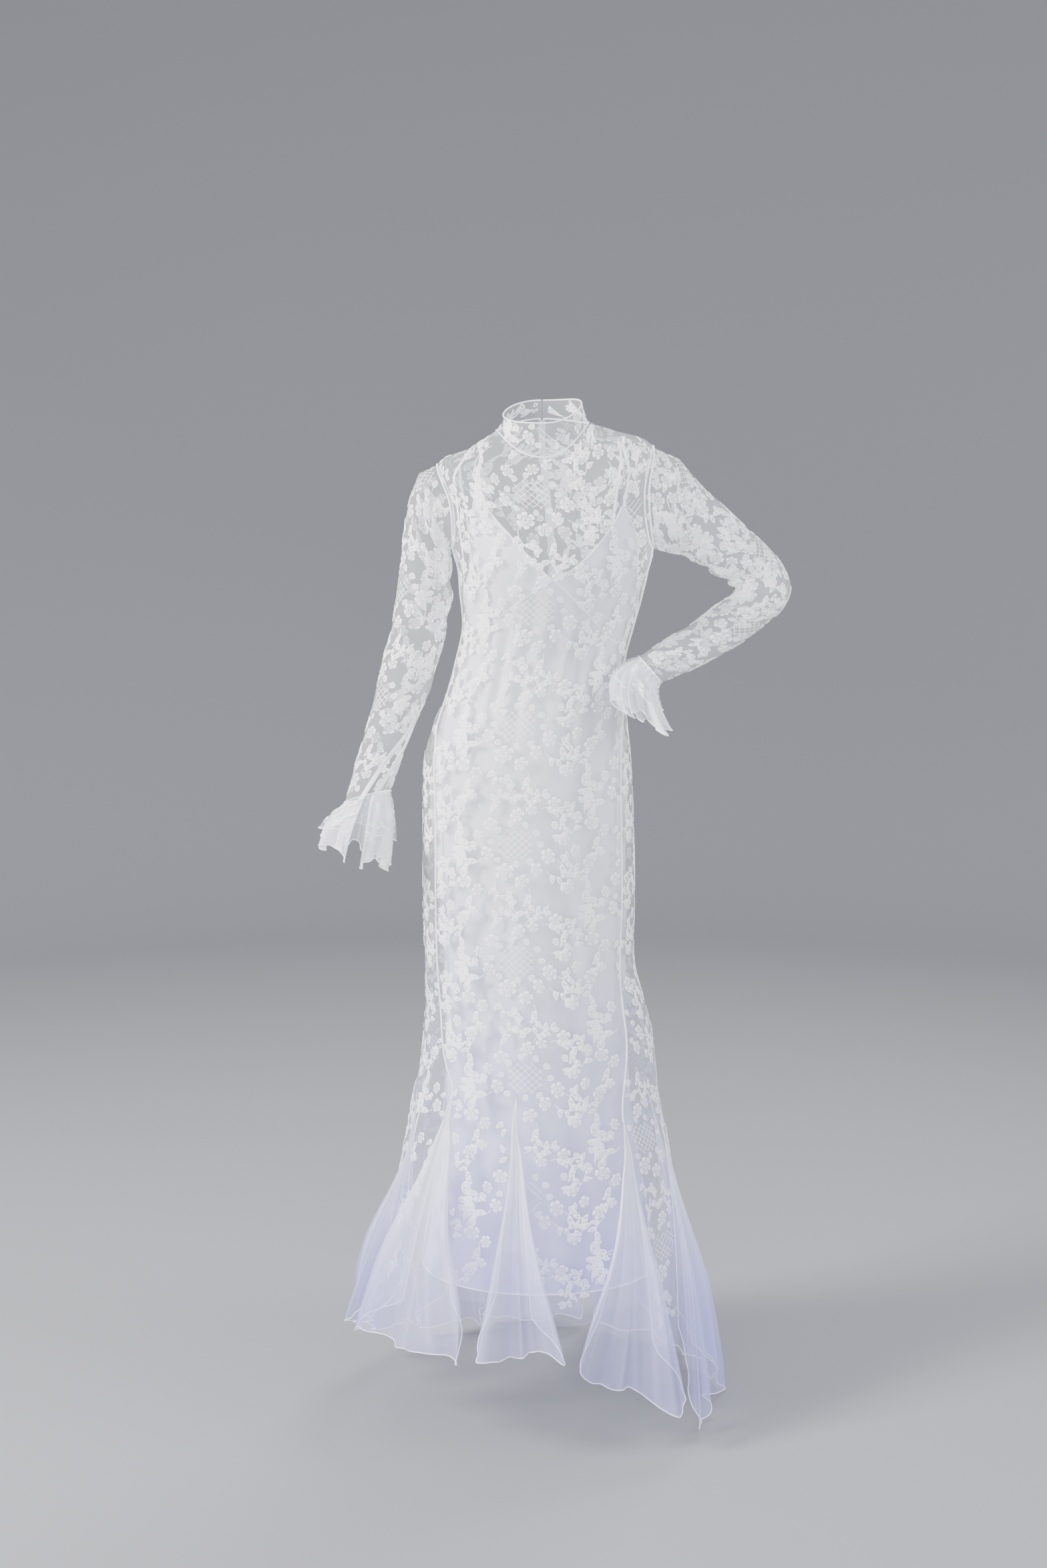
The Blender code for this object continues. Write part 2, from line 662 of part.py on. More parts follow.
def ruffle(side, layer, wall, material):
    """One layer of a cuff's ruffle, open in line with the slit on the right."""
    stops, inset = RUFFLE_STOPS[layer], RUFFLE_INSET[layer]
    seam_ring, hem_ring = SLEEVES[side][-1], RUFFLES[side]
    opening = RUFFLE_OPENING[side]
    start = value(SEAM_TURN, len(SLEEVES["right"]), "turn", "ring") if side == "right" else 180.0
    way = 1 if side == "right" else -1
    seam_mid, hem_mid = ring_middle(seam_ring), ring_middle(hem_ring)
    ahead = (seam_mid - ring_middle(SLEEVES[side][-2])).normalized()
    bend = seam_mid + ahead * (hem_mid - seam_mid).length * RUFFLE_BEND

    def point(column, row):
        t = stops[row]
        share = column / RUFFLE_COLUMNS
        turn = way * lerp(start + opening / 2, start + 360 - opening / 2, share)
        spread = (ring_point(seam_ring, side, turn) - seam_mid).lerp(
            ring_point(hem_ring, side, turn) - hem_mid, t)
        middle = seam_mid.lerp(bend, t).lerp(bend.lerp(hem_mid, t), t)
        flare = spread.normalized()
        wave = RUFFLE_OUT * ease(t) * math.cos(2 * math.pi * RUFFLE_WAVES * share)
        bell = BELL[side] * math.sin(math.pi * t)
        out = inset * (1 + t) + wave + bell
        return middle + ahead * CUFF_GAP + spread + flare * out

    return cloth(f"cuff_{layer}_{side}", [(RUFFLE_COLUMNS, len(stops) - 1, point)], wall,
                 material)


# The collar and the closure at the back

def collar(material):
    seam_level = FORM[0]["down"]

    def point(column, row):
        t = row / COLLAR_ROWS
        angle = lerp(-180.0, 180.0, column / COLLAR_COLUMNS)
        if column == 0:
            angle += turn_for(angle, seam_level, SEAM / 2)
        if column == COLLAR_COLUMNS:
            angle -= turn_for(angle, seam_level, SEAM / 2)
        low = lace_form(angle, seam_level) + Vector((0.0, 0.0, SEAM + LAP / 2))
        lifts = {name: COLLAR_Z[name] - COLLAR_Z["front"] for name in ("right", "left", "back")}
        high = section(COLLAR_TOP, angle, 0.0, lifts, COLLAR_Z["front"])
        inward = Vector((-low.x, -low.y, 0.0)).normalized() * COLLAR_WAIST
        return low.lerp(high, t) + inward * math.sin(math.pi * t)

    return cloth("collar", [(COLLAR_COLUMNS, COLLAR_ROWS, point)], COLLAR_WALL, material,
                 outward=True)


def button_strip(material):
    """A strip over the centre-back seam with covered buttons along it."""
    levels = [down for down in UPPER_LEVELS if down <= STRIP_TO]

    def point(column, row):
        down = levels[row]
        turn = turn_for(180.0, down, STRIP_HALF)
        return lace_out(180.0 + (column - 1) * turn, down, LAP)

    strip = cloth("back_buttons", [(2, len(levels) - 1, point)], SATIN_WALL, material,
                  outward=True)
    bm = bmesh.new()
    for k in range(BUTTONS):
        down = lerp(BUTTONS_FROM, BUTTONS_TO, k / (BUTTONS - 1))
        i = bisect.bisect_right(levels, down) - 1
        share = (down - levels[i]) / (levels[i + 1] - levels[i])
        seat = lace_out(180.0, levels[i], BUTTON_LIFT)
        seat = seat.lerp(lace_out(180.0, levels[i + 1], BUTTON_LIFT), share)
        facing = normal_of(lace_form, 180.0, down).to_track_quat("Z", "Y").to_matrix()
        made = bmesh.ops.create_uvsphere(
            bm, u_segments=BUTTON_SPOKES, v_segments=BUTTON_RINGS, radius=BUTTON_RADIUS)
        for vert in made["verts"]:
            vert.co.z *= BUTTON_HALF / BUTTON_RADIUS
            vert.co = facing @ vert.co + seat
    mesh = bpy.data.meshes.new("button_domes")
    bm.to_mesh(mesh)
    bm.free()
    domes = bpy.data.objects.new("button_domes", mesh)
    link(domes, "cutters")
    domes.hide_render = True
    domes.display_type = "WIRE"
    join = strip.modifiers.new("buttons", "BOOLEAN")
    join.operation = "UNION"
    join.object = domes
    return strip


# The slip

def under_bust(angle):
    """The level of the seam under the cups."""
    drop = UNDER_BUST_DROP["left" if angle > 0 else "right"]
    return UNDER_BUST + drop * math.sin(math.radians(90 * min(1.0, abs(angle) / UNDER_BUST_AT)))


def cup(side, material):
    way = 1 if side == "left" else -1
    numbered = [dict(row, number=i / (len(CUP) - 1)) for i, row in enumerate(CUP)]
    foot = UNDER_BUST + UNDER_BUST_DROP[side]

    def point(column, row):
        u, v = column / CUP_COLUMNS, row / CUP_ROWS
        inner, outer = value(numbered, v, "inner", "number"), value(numbered, v, "outer", "number")
        inner_z = value(numbered, v, "inner_down", "number")
        outer_z = value(numbered, v, "outer_down", "number")
        turn = CUP_APEX_TURN[side] * v
        angle = lerp(inner, outer, u) - turn
        plain = lerp(UNDER_BUST, foot, u)
        outer_z += (foot - CUP[0]["outer_down"]) * (1 - ease(v / CUP_FOOT_SHARE))
        depth = lerp(inner_z, outer_z, u) - CUP_APEX_RISE[side] * v * v
        depth += (under_bust(way * angle) - plain) * (1 - v) ** 2
        depth -= SEAM / 2 * (1 - v)
        if column == 0:
            angle += turn_for(angle, depth, SEAM / 2)
        signed = way * angle
        return slip_form(signed, lace_down(signed, depth))

    return cloth(f"slip_cup_{side}", [(CUP_COLUMNS, CUP_ROWS, point)], SATIN_WALL, material,
                 outward=way > 0)


def slip_front(material):
    def point(column, row):
        angle = lerp(-SLIP_SIDE, SLIP_SIDE, column / SLIP_COLUMNS)
        top = under_bust(angle) + SEAM / 2
        down = lerp(top, SLIP_HEM, (row / SLIP_ROWS) ** SLIP_ROW_GROWTH)
        fade = math.cos(math.radians(angle)) ** 2
        fade *= ease(1 - abs(2 * (down - GATHERS_FROM) / (GATHERS_TO - GATHERS_FROM) - 1))
        fold = GATHER_OUT * fade * math.cos(math.pi * column)
        return slip_form(angle, down) + fold * normal_of(slip_form, angle, down)

    return cloth("slip_front", [(SLIP_COLUMNS, SLIP_ROWS, point)], SATIN_WALL, material)


def back_top(angle):
    """The level of the slip's top edge at the back."""
    return BACK_TOP + BACK_DIP * math.cos(math.radians(angle)) ** 2


def slip_back(material):
    def point(column, row):
        angle = lerp(SLIP_SIDE, 360 - SLIP_SIDE, column / SLIP_BACK_COLUMNS)
        if column == 0:
            angle += turn_for(angle, BACK_TOP, 2 * SEAM)
        if column == SLIP_BACK_COLUMNS:
            angle -= turn_for(angle, BACK_TOP, 2 * SEAM)
        down = lerp(back_top(angle), SLIP_HEM, (row / SLIP_ROWS) ** SLIP_ROW_GROWTH)
        return slip_form(angle, down)

    return cloth("slip_back", [(SLIP_BACK_COLUMNS, SLIP_ROWS, point)], SATIN_WALL, material)


def strap_route(side, middle):
    """A strap's whole route, from the tip of its cup to the top of the slip's back."""
    way = 1 if side == "left" else -1
    tip = CUP[-1]
    angle = way * ((tip["inner"] + tip["outer"]) / 2 - CUP_APEX_TURN[side])
    depth = (tip["inner_down"] + tip["outer_down"]) / 2 - CUP_APEX_RISE[side] - LAP
    end = (way * STRAP_AT_BACK, back_top(STRAP_AT_BACK) - LAP)
    return [(angle, lace_down(angle, depth)), *middle, end]


def strap(name, route, material):
    """A narrow strap over the shoulder, under the lace and level across."""

    def point(column, row):
        angle, down = along(route, row / STRAP_STEPS)
        here = lace_out(angle, down, -STRAP_INSET)
        step = 0.01
        t = row / STRAP_STEPS
        ahead = along(route, min(1.0, t + step))
        behind = along(route, max(0.0, t - step))
        run = lace_out(*ahead, -STRAP_INSET) - lace_out(*behind, -STRAP_INSET)
        across = run.cross(normal_of(lace_form, angle, down)).normalized()
        return here + across * STRAP_WIDTH * (column - 0.5)

    return cloth(name, [(1, STRAP_STEPS, point)], STRAP_WALL, material)


def main():
    start_fresh()
    lace = cloth_material("white_lace", WHITE_LACE, LACE_ROUGHNESS)
    satin = cloth_material("white_satin", WHITE_SATIN, SATIN_ROUGHNESS)
    organza = cloth_material("cool_organza", COOL_ORGANZA, ORGANZA_ROUGHNESS)
    lace_panels(lace)
    collar(lace)
    for side in ("right", "left"):
        sleeve(side, lace)
        ruffle(side, "lace", LACE_WALL, lace)
        ruffle(side, "organza", ORGANZA_WALL, organza)
        cup(side, satin)
    placket(satin)
    button_strip(satin)
    godets(organza)
    slip_front(satin)
    slip_back(satin)
    for side, middle in STRAPS.items():
        strap(f"slip_strap_{side}", strap_route(side, middle), satin)
    strap("slip_loop_right", HANGER_LOOP, satin)


main()
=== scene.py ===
"""The looks of the lace gown: net lace with raised motifs, sheer godets and a satin slip.

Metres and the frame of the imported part: the origin at the base of the neck, +Z up, the front
facing -Y and the wearer's left towards +X. Angles go round the gown in degrees from the centre
front towards the wearer's left, and "down" is how far a level lies below the origin at the front.
"""

import bisect
import math

import bpy
import numpy as np
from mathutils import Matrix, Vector


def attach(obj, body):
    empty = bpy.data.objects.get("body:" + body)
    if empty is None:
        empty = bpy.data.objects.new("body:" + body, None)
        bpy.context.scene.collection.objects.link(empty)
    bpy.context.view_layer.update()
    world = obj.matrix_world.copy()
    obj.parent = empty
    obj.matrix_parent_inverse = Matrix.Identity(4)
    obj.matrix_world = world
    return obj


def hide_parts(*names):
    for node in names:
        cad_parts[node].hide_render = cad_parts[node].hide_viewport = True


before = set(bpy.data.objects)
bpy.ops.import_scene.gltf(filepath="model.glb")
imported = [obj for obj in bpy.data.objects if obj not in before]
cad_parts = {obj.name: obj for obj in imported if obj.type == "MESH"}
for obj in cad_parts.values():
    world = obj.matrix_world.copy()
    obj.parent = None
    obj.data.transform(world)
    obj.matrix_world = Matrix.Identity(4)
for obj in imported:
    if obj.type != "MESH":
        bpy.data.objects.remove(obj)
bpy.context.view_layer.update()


def table(names, rows):
    """Rows of numbers as dictionaries under the named columns."""
    return [dict(zip(names.split(), row)) for row in rows]


# Roundness of the sections: 2 is an ellipse, and more is squarer
SQUARENESS = 2.15
NO_LIFT = {"right": 0.0, "left": 0.0, "back": 0.0}
# Sections of the lace from the neck seam to the hem
FORM = table("down mid half front back", [
    (0.025, 0.000, 0.071, 0.072, 0.052),
    (0.055, 0.000, 0.110, 0.096, 0.072),
    (0.090, 0.004, 0.165, 0.112, 0.088),
    (0.122, 0.010, 0.163, 0.125, 0.096),
    (0.157, 0.016, 0.155, 0.134, 0.100),
    (0.182, 0.017, 0.148, 0.137, 0.100),
    (0.227, 0.014, 0.141, 0.131, 0.097),
    (0.278, 0.009, 0.132, 0.117, 0.091),
    (0.330, -0.003, 0.131, 0.108, 0.088),
    (0.382, -0.010, 0.139, 0.110, 0.095),
    (0.434, -0.019, 0.152, 0.116, 0.107),
    (0.486, -0.023, 0.161, 0.120, 0.116),
    (0.590, -0.022, 0.164, 0.122, 0.120),
    (0.700, -0.021, 0.165, 0.123, 0.118),
    (0.804, -0.019, 0.163, 0.126, 0.118),
    (0.858, -0.012, 0.169, 0.132, 0.122),
    (0.912, -0.007, 0.178, 0.140, 0.130),
    (0.966, -0.007, 0.185, 0.148, 0.138),
    (1.020, -0.010, 0.195, 0.158, 0.148),
    (1.080, -0.008, 0.208, 0.170, 0.160),
    (1.200, -0.010, 0.228, 0.190, 0.185),
    (1.350, -0.012, 0.245, 0.205, 0.205),
    (1.460, -0.012, 0.252, 0.212, 0.215),
])
# How far the shoulders and the nape rise above the front at the same level
YOKE = table("down right left back", [
    (0.025, 0.047, 0.059, 0.070),
    (0.055, 0.051, 0.077, 0.067),
    (0.090, 0.061, 0.089, 0.060),
    (0.122, 0.037, 0.052, 0.037),
    (0.157, 0.000, 0.000, 0.000),
    (0.200, 0.000, 0.000, 0.000),
])
# Angles of the seams down the front and the sides
SEAMS = table("down right front left", [
    (0.025, -90, 0, 90),
    (0.260, -90, 0, 90),
    (0.360, -84, 0, 86),
    (0.420, -74, 0, 70),
    (0.460, -64, 0, 63),
    (0.540, -59, 0, 60),
    (0.700, -59, 0, 59),
    (0.800, -60, -1, 57),
    (0.860, -58, -3, 51),
    (0.930, -52, -6, 47),
    (1.000, -38, -9, 42),
    (1.050, -37, -9, 41),
    (1.500, -37, -9, 40),
])
# Soft troughs in the lace between the godets: angle, half width in degrees, depth at the hem
TROUGHS = table("angle width depth", [
    (12, 13, 0.022),
    (-22, 9, 0.014),
    (57, 10, 0.016),
    (-70, 9, 0.010),
    (95, 9, 0.014),
    (128, 9, 0.014),
    (160, 9, 0.014),
    (-162, 9, 0.014),
    (-137, 9, 0.014),
    (-109, 9, 0.014),
])
TROUGHS_FROM, TROUGHS_TO = 1.00, 1.35
# The bust that the cups and gathers shape, the same on both sides
BUST_ANGLE, BUST_DOWN, BUST_WIDE, BUST_TALL, BUST_OUT = 34, 0.190, 20, 0.050, 0.007
# Armholes: levels of the shoulder tip and the underarm, and half their width in degrees
TIP, UNDERARM, ARMHOLE_HALF = 0.090, 0.157, 24
ARMHOLE_INSET = 0.0013
# Godets of organza. At the hem each runs from one edge of its slit, out over two folds, to the
# other edge: angles, how far the folds stand out, and the levels of the hem there. tongue is the
# hem of the lace on the side of growing angle.
GODETS = {
    name: dict(zip(
        "apex level from_edge from_fold to_fold to_edge "
        "from_out to_out from_hem to_hem tongue".split(), row))
    for name, row in {
        "godet_right_3": (-141, 1.02, -159, -165, -140, -146, 0.058, 0.054, 1.490, 1.480, 1.42),
        "godet_right_2": (-105, 1.02, -128, -135, -113, -116, 0.056, 0.054, 1.475, 1.440, 1.38),
        "godet_right_1": (-66, 1.02, -96, -104, -86, -82, 0.064, 0.050, 1.420, 1.385, 1.33),
        "godet_side_right": (-38, 0.978, -56, -72, -23, -32, 0.060, 0.082, 1.365, 1.345, 1.29),
        "godet_front": (-9, 0.983, -13, -12.5, 4, -1, 0.076, 0.066, 1.343, 1.346, 1.327),
        "godet_side_left": (41, 1.029, 24, 16, 43, 48, 0.052, 0.070, 1.376, 1.445, 1.39),
        "godet_left_1": (75, 1.045, 68, 61, 91, 84, 0.062, 0.064, 1.497, 1.497, 1.42),
        "godet_left_2": (113, 1.03, 105, 100, 124, 119, 0.058, 0.058, 1.497, 1.495, 1.43),
        "godet_left_3": (148, 1.02, 137, 132, 157, 150, 0.056, 0.058, 1.495, 1.492, 1.43),
        "godet_back": (180, 1.02, 171, 167, 193, 189, 0.058, 0.058, 1.492, 1.490, 1.43),
    }.items()
}
GODET_LAP = 0.0008
FOLDS_OPEN_BY, FOLDS_SPREAD_BY = 0.60, 0.24
VALLEY = 0.45
TONGUE_CORNER = 0.020
# The lace panels, each from godet to godet
PANELS = {
    "lace_back_right": "back_start godet_right_3 godet_right_2 godet_right_1 godet_side_right",
    "lace_front": "godet_side_right godet_front godet_side_left",
    "lace_back_left": "godet_side_left godet_left_1 godet_left_2 godet_left_3 godet_back",
}
LEVEL_OF_SLITS, BEND_OVER = 1.00, 0.15
# The slip below the bust, inside the lace
SLIP = table("down mid half front back", [
    (0.210, 0.015, 0.138, 0.126, 0.092),
    (0.300, 0.005, 0.123, 0.105, 0.083),
    (0.340, -0.003, 0.122, 0.101, 0.083),
    (0.420, -0.015, 0.140, 0.107, 0.097),
    (0.500, -0.020, 0.152, 0.112, 0.109),
    (0.600, -0.020, 0.153, 0.113, 0.111),
    (0.760, -0.012, 0.147, 0.116, 0.107),
    (0.900, -0.008, 0.146, 0.122, 0.112),
    (1.030, -0.006, 0.152, 0.132, 0.122),
    (1.290, -0.004, 0.188, 0.162, 0.152),
])
SLIP_INSET = 0.006
SLIP_HEM = 1.285
SLIP_BLEND = (0.30, 0.40)
SLIP_SIDE, SLIP_ROW_GROWTH = 88, 1.2
UNDER_BUST = 0.209
UNDER_BUST_AT = 64
UNDER_BUST_DROP = {"right": 0.074, "left": 0.094}
BACK_TOP, BACK_DIP = 0.236, 0.014
# A cup of the slip from the under-bust seam up to its strap: the edge along the neckline and the
# edge along the side seam and the arm
CUP = table("inner inner_down outer outer_down", [
    (0, 0.209, 88, 0.303),
    (5, 0.195, 88, 0.270),
    (11, 0.178, 86, 0.238),
    (18, 0.161, 72, 0.212),
    (25, 0.144, 60, 0.185),
    (34, 0.122, 54, 0.141),
    (40.8, 0.098, 43.2, 0.099),
])
CUP_APEX_RISE = {"right": 0.020, "left": 0.0}
CUP_APEX_TURN = {"right": 4.0, "left": 0.0}
CUP_SETTLES = 3
# Sleeves as pairs of points at the outer and the inner edge, seen from the front
RING = "outer_x outer_z inner_x inner_z mid_y half_y"
SLEEVES = {
    "right": table(RING, [
        (-0.189, -0.044, -0.1425, -0.1600, -0.006, 0.049),
        (-0.204, -0.084, -0.1415, -0.1660, -0.004, 0.050),
        (-0.213, -0.128, -0.1405, -0.1740, -0.002, 0.050),
        (-0.2185, -0.178, -0.1395, -0.1960, 0.000, 0.050),
        (-0.226, -0.232, -0.1395, -0.2320, 0.002, 0.048),
        (-0.234, -0.280, -0.1480, -0.2800, 0.003, 0.046),
        (-0.250, -0.335, -0.1600, -0.3260, 0.002, 0.046),
        (-0.261, -0.388, -0.1740, -0.3760, -0.002, 0.044),
        (-0.275, -0.440, -0.1990, -0.4280, -0.008, 0.040),
        (-0.291, -0.492, -0.2180, -0.4800, -0.014, 0.037),
        (-0.306, -0.548, -0.2360, -0.5310, -0.020, 0.035),
    ]),
    "left": table(RING, [
        (0.211, -0.023, 0.1770, -0.1590, -0.005, 0.049),
        (0.243, -0.060, 0.1940, -0.1630, 0.002, 0.050),
        (0.282, -0.093, 0.2190, -0.1690, 0.010, 0.049),
        (0.316, -0.124, 0.2470, -0.1830, 0.015, 0.047),
        (0.349, -0.152, 0.2730, -0.1980, 0.020, 0.045),
        (0.375, -0.183, 0.2900, -0.2080, 0.025, 0.044),
        (0.388, -0.216, 0.2980, -0.2160, 0.025, 0.044),
        (0.375, -0.249, 0.2920, -0.2270, 0.020, 0.043),
        (0.344, -0.276, 0.2680, -0.2450, 0.008, 0.038),
        (0.310, -0.300, 0.2400, -0.2650, -0.010, 0.035),
        (0.267, -0.324, 0.2050, -0.2860, -0.028, 0.033),
        (0.222, -0.345, 0.1710, -0.3070, -0.045, 0.031),
        (0.181, -0.361, 0.1470, -0.3220, -0.055, 0.030),
    ]),
}
# The slit over the right wrist: where the sleeve's seam column lies, by ring, and the opening
SEAM_TURN = table("ring turn", [(0, 180), (7, 180), (9, 168), (10, 128), (11, 94)])
SLIT_FROM, SLIT_HALF, SLIT_SWELL, SLIT_NARROWING = 9.0, 12.0, 1.6, 0.9
# Cuff ruffles: the ring at the hem of the longer layer, and the waves round it
RUFFLES = {
    "right": dict(zip(RING.split(), (-0.344, -0.606, -0.236, -0.640, -0.045, 0.056))),
    "left": dict(zip(RING.split(), (0.189, -0.432, 0.106, -0.385, -0.104, 0.034))),
}
RUFFLE_WAVES, RUFFLE_OUT, RUFFLE_BEND = 6, 0.0065, 0.45
RUFFLE_INSET = {"lace": 0.0, "organza": -0.0032}
RUFFLE_OPENING = {"right": 20.0, "left": 0.0}
BELL = {"right": 0.008, "left": 0.004}
CUFF_GAP = 0.0007
# The collar's top edge: section, and its height at the front, sides and back
COLLAR_TOP = {"mid": 0.0, "half": 0.0600, "front": 0.0625, "back": 0.0500}
COLLAR_Z = {"front": 0.027, "right": 0.046, "left": 0.064, "back": 0.074}
COLLAR_WAIST, COLLAR_LIFT, COLLAR_SLOUCH, COLLAR_END = 0.003, 0.0007, 0.0012, 179.7
# The button strip down the centre back
STRIP_HALF, STRIP_TO, STRIP_LIFT = 0.006, 0.490, 0.0014
BUTTONS, BUTTON_RADIUS = 12, 0.005
DOME_RINGS, DOME_SPOKES, DOME_HIGH, DOME_LIFT = 6, 20, 0.0028, 0.0016
LOOP_STEPS, LOOP_WIDE, LOOP_TALL, LOOP_ASIDE, LOOP_LIFT = 12, 0.0066, 0.0058, 0.001, 0.0006
BUTTONS_FROM, BUTTONS_TO = 0.040, 0.475
# Radii of the cords and sewn edges
CORDS = {
    "body": 0.0013, "collar": 0.0011, "slip": 0.0011, "cup": 0.0012, "cuff_seam": 0.0012,
    "lace_hem": 0.0008, "organza_hem": 0.0009, "godet": 0.0007, "loop": 0.0006,
}
# Columns and rows of the meshes
GRIDS = {
    "sleeve": (40, 110), "cuff_lace": (200, 16), "cuff_organza": (240, 22), "collar": (120, 14),
    "slip_front": (96, 120), "slip_back": (72, 90), "cup": (24, 30), "strip": (4, 90),
}
ARMHOLE_POINTS, SEAM_POINTS, SEAM_LIFT = 72, 90, 0.0006
# How far inside the seams the motifs stay: degrees of the form and of a sleeve, metres, and rings
EDGE_MARGIN, SLIT_MARGIN = 0.35, 4
HEM_MARGIN, NECK_MARGIN = 0.002, 0.001
RING_MARGIN = {"armhole": 0.04, "wrist": 0.05}
COLLAR_MARGIN = 0.02
KEEPER_STEPS = {"panel": 360, "sleeve": 200}


def lerp(a, b, t):
    return a + (b - a) * t


def ease(t):
    """0 to 1 with a soft start and end, held at both."""
    t = min(1.0, max(0.0, t))
    return t * t * (3.0 - 2.0 * t)


def slope(rows, i, key, name):
    a, b = rows[max(i - 1, 0)], rows[min(i + 1, len(rows) - 1)]
    return (b[name] - a[name]) / (b[key] - a[key])


def value(rows, at, name, key="down"):
    """Smooth reading of a table between its rows."""
    keys = [row[key] for row in rows]
    i = max(0, min(len(rows) - 2, bisect.bisect_right(keys, at) - 1))
    a, b = rows[i], rows[i + 1]
    span = b[key] - a[key]
    t = min(1.0, max(0.0, (at - a[key]) / span))
    start, end = slope(rows, i, key, name) * span, slope(rows, i + 1, key, name) * span
    rest = b[name] - a[name]
    return a[name] + t * (start + t * (3 * rest - 2 * start - end + t * (start + end - 2 * rest)))


def along(points, t):
    """A point at t, from 0 to 1, on a smooth line through points of any dimension."""
    spans = len(points) - 1
    i = min(spans - 1, int(t * spans))
    t = t * spans - i
    a, b = Vector(points[i]), Vector(points[i + 1])
    before = Vector(points[i - 1]) if i else 2 * a - b
    after = Vector(points[i + 2]) if i + 2 <= spans else 2 * b - a
    start, end, rest = (b - before) / 2, (after - a) / 2, b - a
    return a + t * (start + t * (3 * rest - 2 * start - end + t * (start + end - 2 * rest)))


def rounded(part):
    """A sine or cosine, bent towards the squarer section."""
    return math.copysign(abs(part) ** (2.0 / SQUARENESS), part)


def bust(angle, down):
    tall = ((down - BUST_DOWN) / BUST_TALL) ** 2
    return BUST_OUT * sum(
        math.exp(-tall - ((angle - side * BUST_ANGLE) / BUST_WIDE) ** 2) for side in (-1, 1))


def trough(angle, down):
    depth = ease((down - TROUGHS_FROM) / (TROUGHS_TO - TROUGHS_FROM))
    if depth == 0.0:
        return 0.0
    total = 0.0
    for row in TROUGHS:
        apart = (angle - row["angle"] + 180) % 360 - 180
        total += row["depth"] * math.exp(-((apart / row["width"]) ** 2))
    return depth * total


def section(row, angle, out, lifts, z):
    """A point of one section: its sizes, moved out, and raised at the sides and the back."""
    turn = math.radians(angle)
    side, ahead = math.sin(turn), math.cos(turn)
    depth = row["front"] if ahead > 0 else row["back"]
    x = row["mid"] + (row["half"] + out) * rounded(side)
    y = -(depth + out) * rounded(ahead)
    rise = lifts["left"] if side > 0 else lifts["right"]
    back = 0.0 if ahead > 0 else lifts["back"]
    return Vector((x, y, z + rise * side * side + back * ahead * ahead))


def lace_form(angle, down):
    """A point on the outer side of the lace."""
    row = {name: value(FORM, down, name) for name in ("mid", "half", "front", "back")}
    lifts = {name: value(YOKE, down, name) for name in ("right", "left", "back")}
    out = bust(angle, down) - trough(angle, down)
    return section(row, angle, out, lifts, -down)


def normal_of(form, angle, down, level=False):
    """The direction out of a form at a point, level with the floor if asked."""
    turn, step = 0.5, 0.001
    round_it = form(angle + turn, down) - form(angle - turn, down)
    down_it = form(angle, down + step) - form(angle, down - step)
    out = down_it.cross(round_it)
    if level:
        out.z = 0.0
    return out.normalized()


def lace_out(angle, down, out, level=False):
    return lace_form(angle, down) + out * normal_of(lace_form, angle, down, level)


def turn_for(angle, down, length):
    """The change of angle that moves a point of the lace by length."""
    step = 0.5
    return length * 2 * step / (lace_form(angle + step, down) - lace_form(angle - step, down)).length


def slip_form(angle, down):
    """A point on the outer side of the slip: under the lace at the bust, and closer in below."""
    share = ease((down - SLIP_BLEND[0]) / (SLIP_BLEND[1] - SLIP_BLEND[0]))
    row = {name: value(SLIP, down, name) for name in ("mid", "half", "front", "back")}
    low = section(row, angle, 0.0, NO_LIFT, -down)
    if share == 1.0:
        return low
    return lace_out(angle, down, -SLIP_INSET).lerp(low, share)


def lace_down(angle, depth):
    """The down of the lace's point that lies depth below the origin at this angle."""
    down, rounds = depth, 30
    for _ in range(rounds):
        rise = value(YOKE, down, "left" if angle > 0 else "right")
        down = 0.5 * down + 0.5 * (depth + rise * math.sin(math.radians(angle)) ** 2)
    return down


def axis(name, down):
    """The angle of the line that runs down to a godet."""
    if name == "back_start":
        return -180.0
    if name == "godet_back":
        return 180.0
    fixed = {"godet_side_right": "right", "godet_front": "front", "godet_side_left": "left"}
    if name in fixed:
        return value(SEAMS, down, fixed[name])
    side, way = ("right", -1) if name.startswith("godet_right") else ("left", 1)
    start = value(SEAMS, LEVEL_OF_SLITS, side)
    share = (GODETS[name]["apex"] - start) / (way * 180.0 - start)
    return lerp(value(SEAMS, down, side) + way * armhole_cut(down), way * 180.0, share)


def godet_of(name):
    return GODETS["godet_back" if name == "back_start" else name]


def slit_edge(name, side, t):
    """The angle of a slit's edge at t, from 0 at its apex to 1 at the hem."""
    godet = godet_of(name)
    end = godet[side] - (360.0 if name == "back_start" else 0.0)
    return lerp(axis(name, godet["level"]), end, t)


def armhole_cut(down):
    """How far the armhole takes the edge of a panel back from the shoulder, in degrees."""
    t = 2 * (down - TIP) / (UNDERARM - TIP) - 1
    return ARMHOLE_HALF * math.sqrt(max(0.0, 1 - t * t))


def tongue_hem(name, t):
    """The lace's hem between two slits, rounded up at its corners."""
    return godet_of(name)["tongue"] - TONGUE_CORNER * abs(2 * t - 1) ** 4


def armhole_edge(side, turn):
    """Angle and down on an armhole's edge, from the shoulder tip round the front to the underarm."""
    spin = math.radians(turn)
    angle = (1 if side == "left" else -1) * (90 - ARMHOLE_HALF * math.sin(spin))
    return angle, lerp(TIP, UNDERARM, (1 - math.cos(spin)) / 2)


def armhole_point(side, turn):
    return lace_form(*armhole_edge(side, turn))


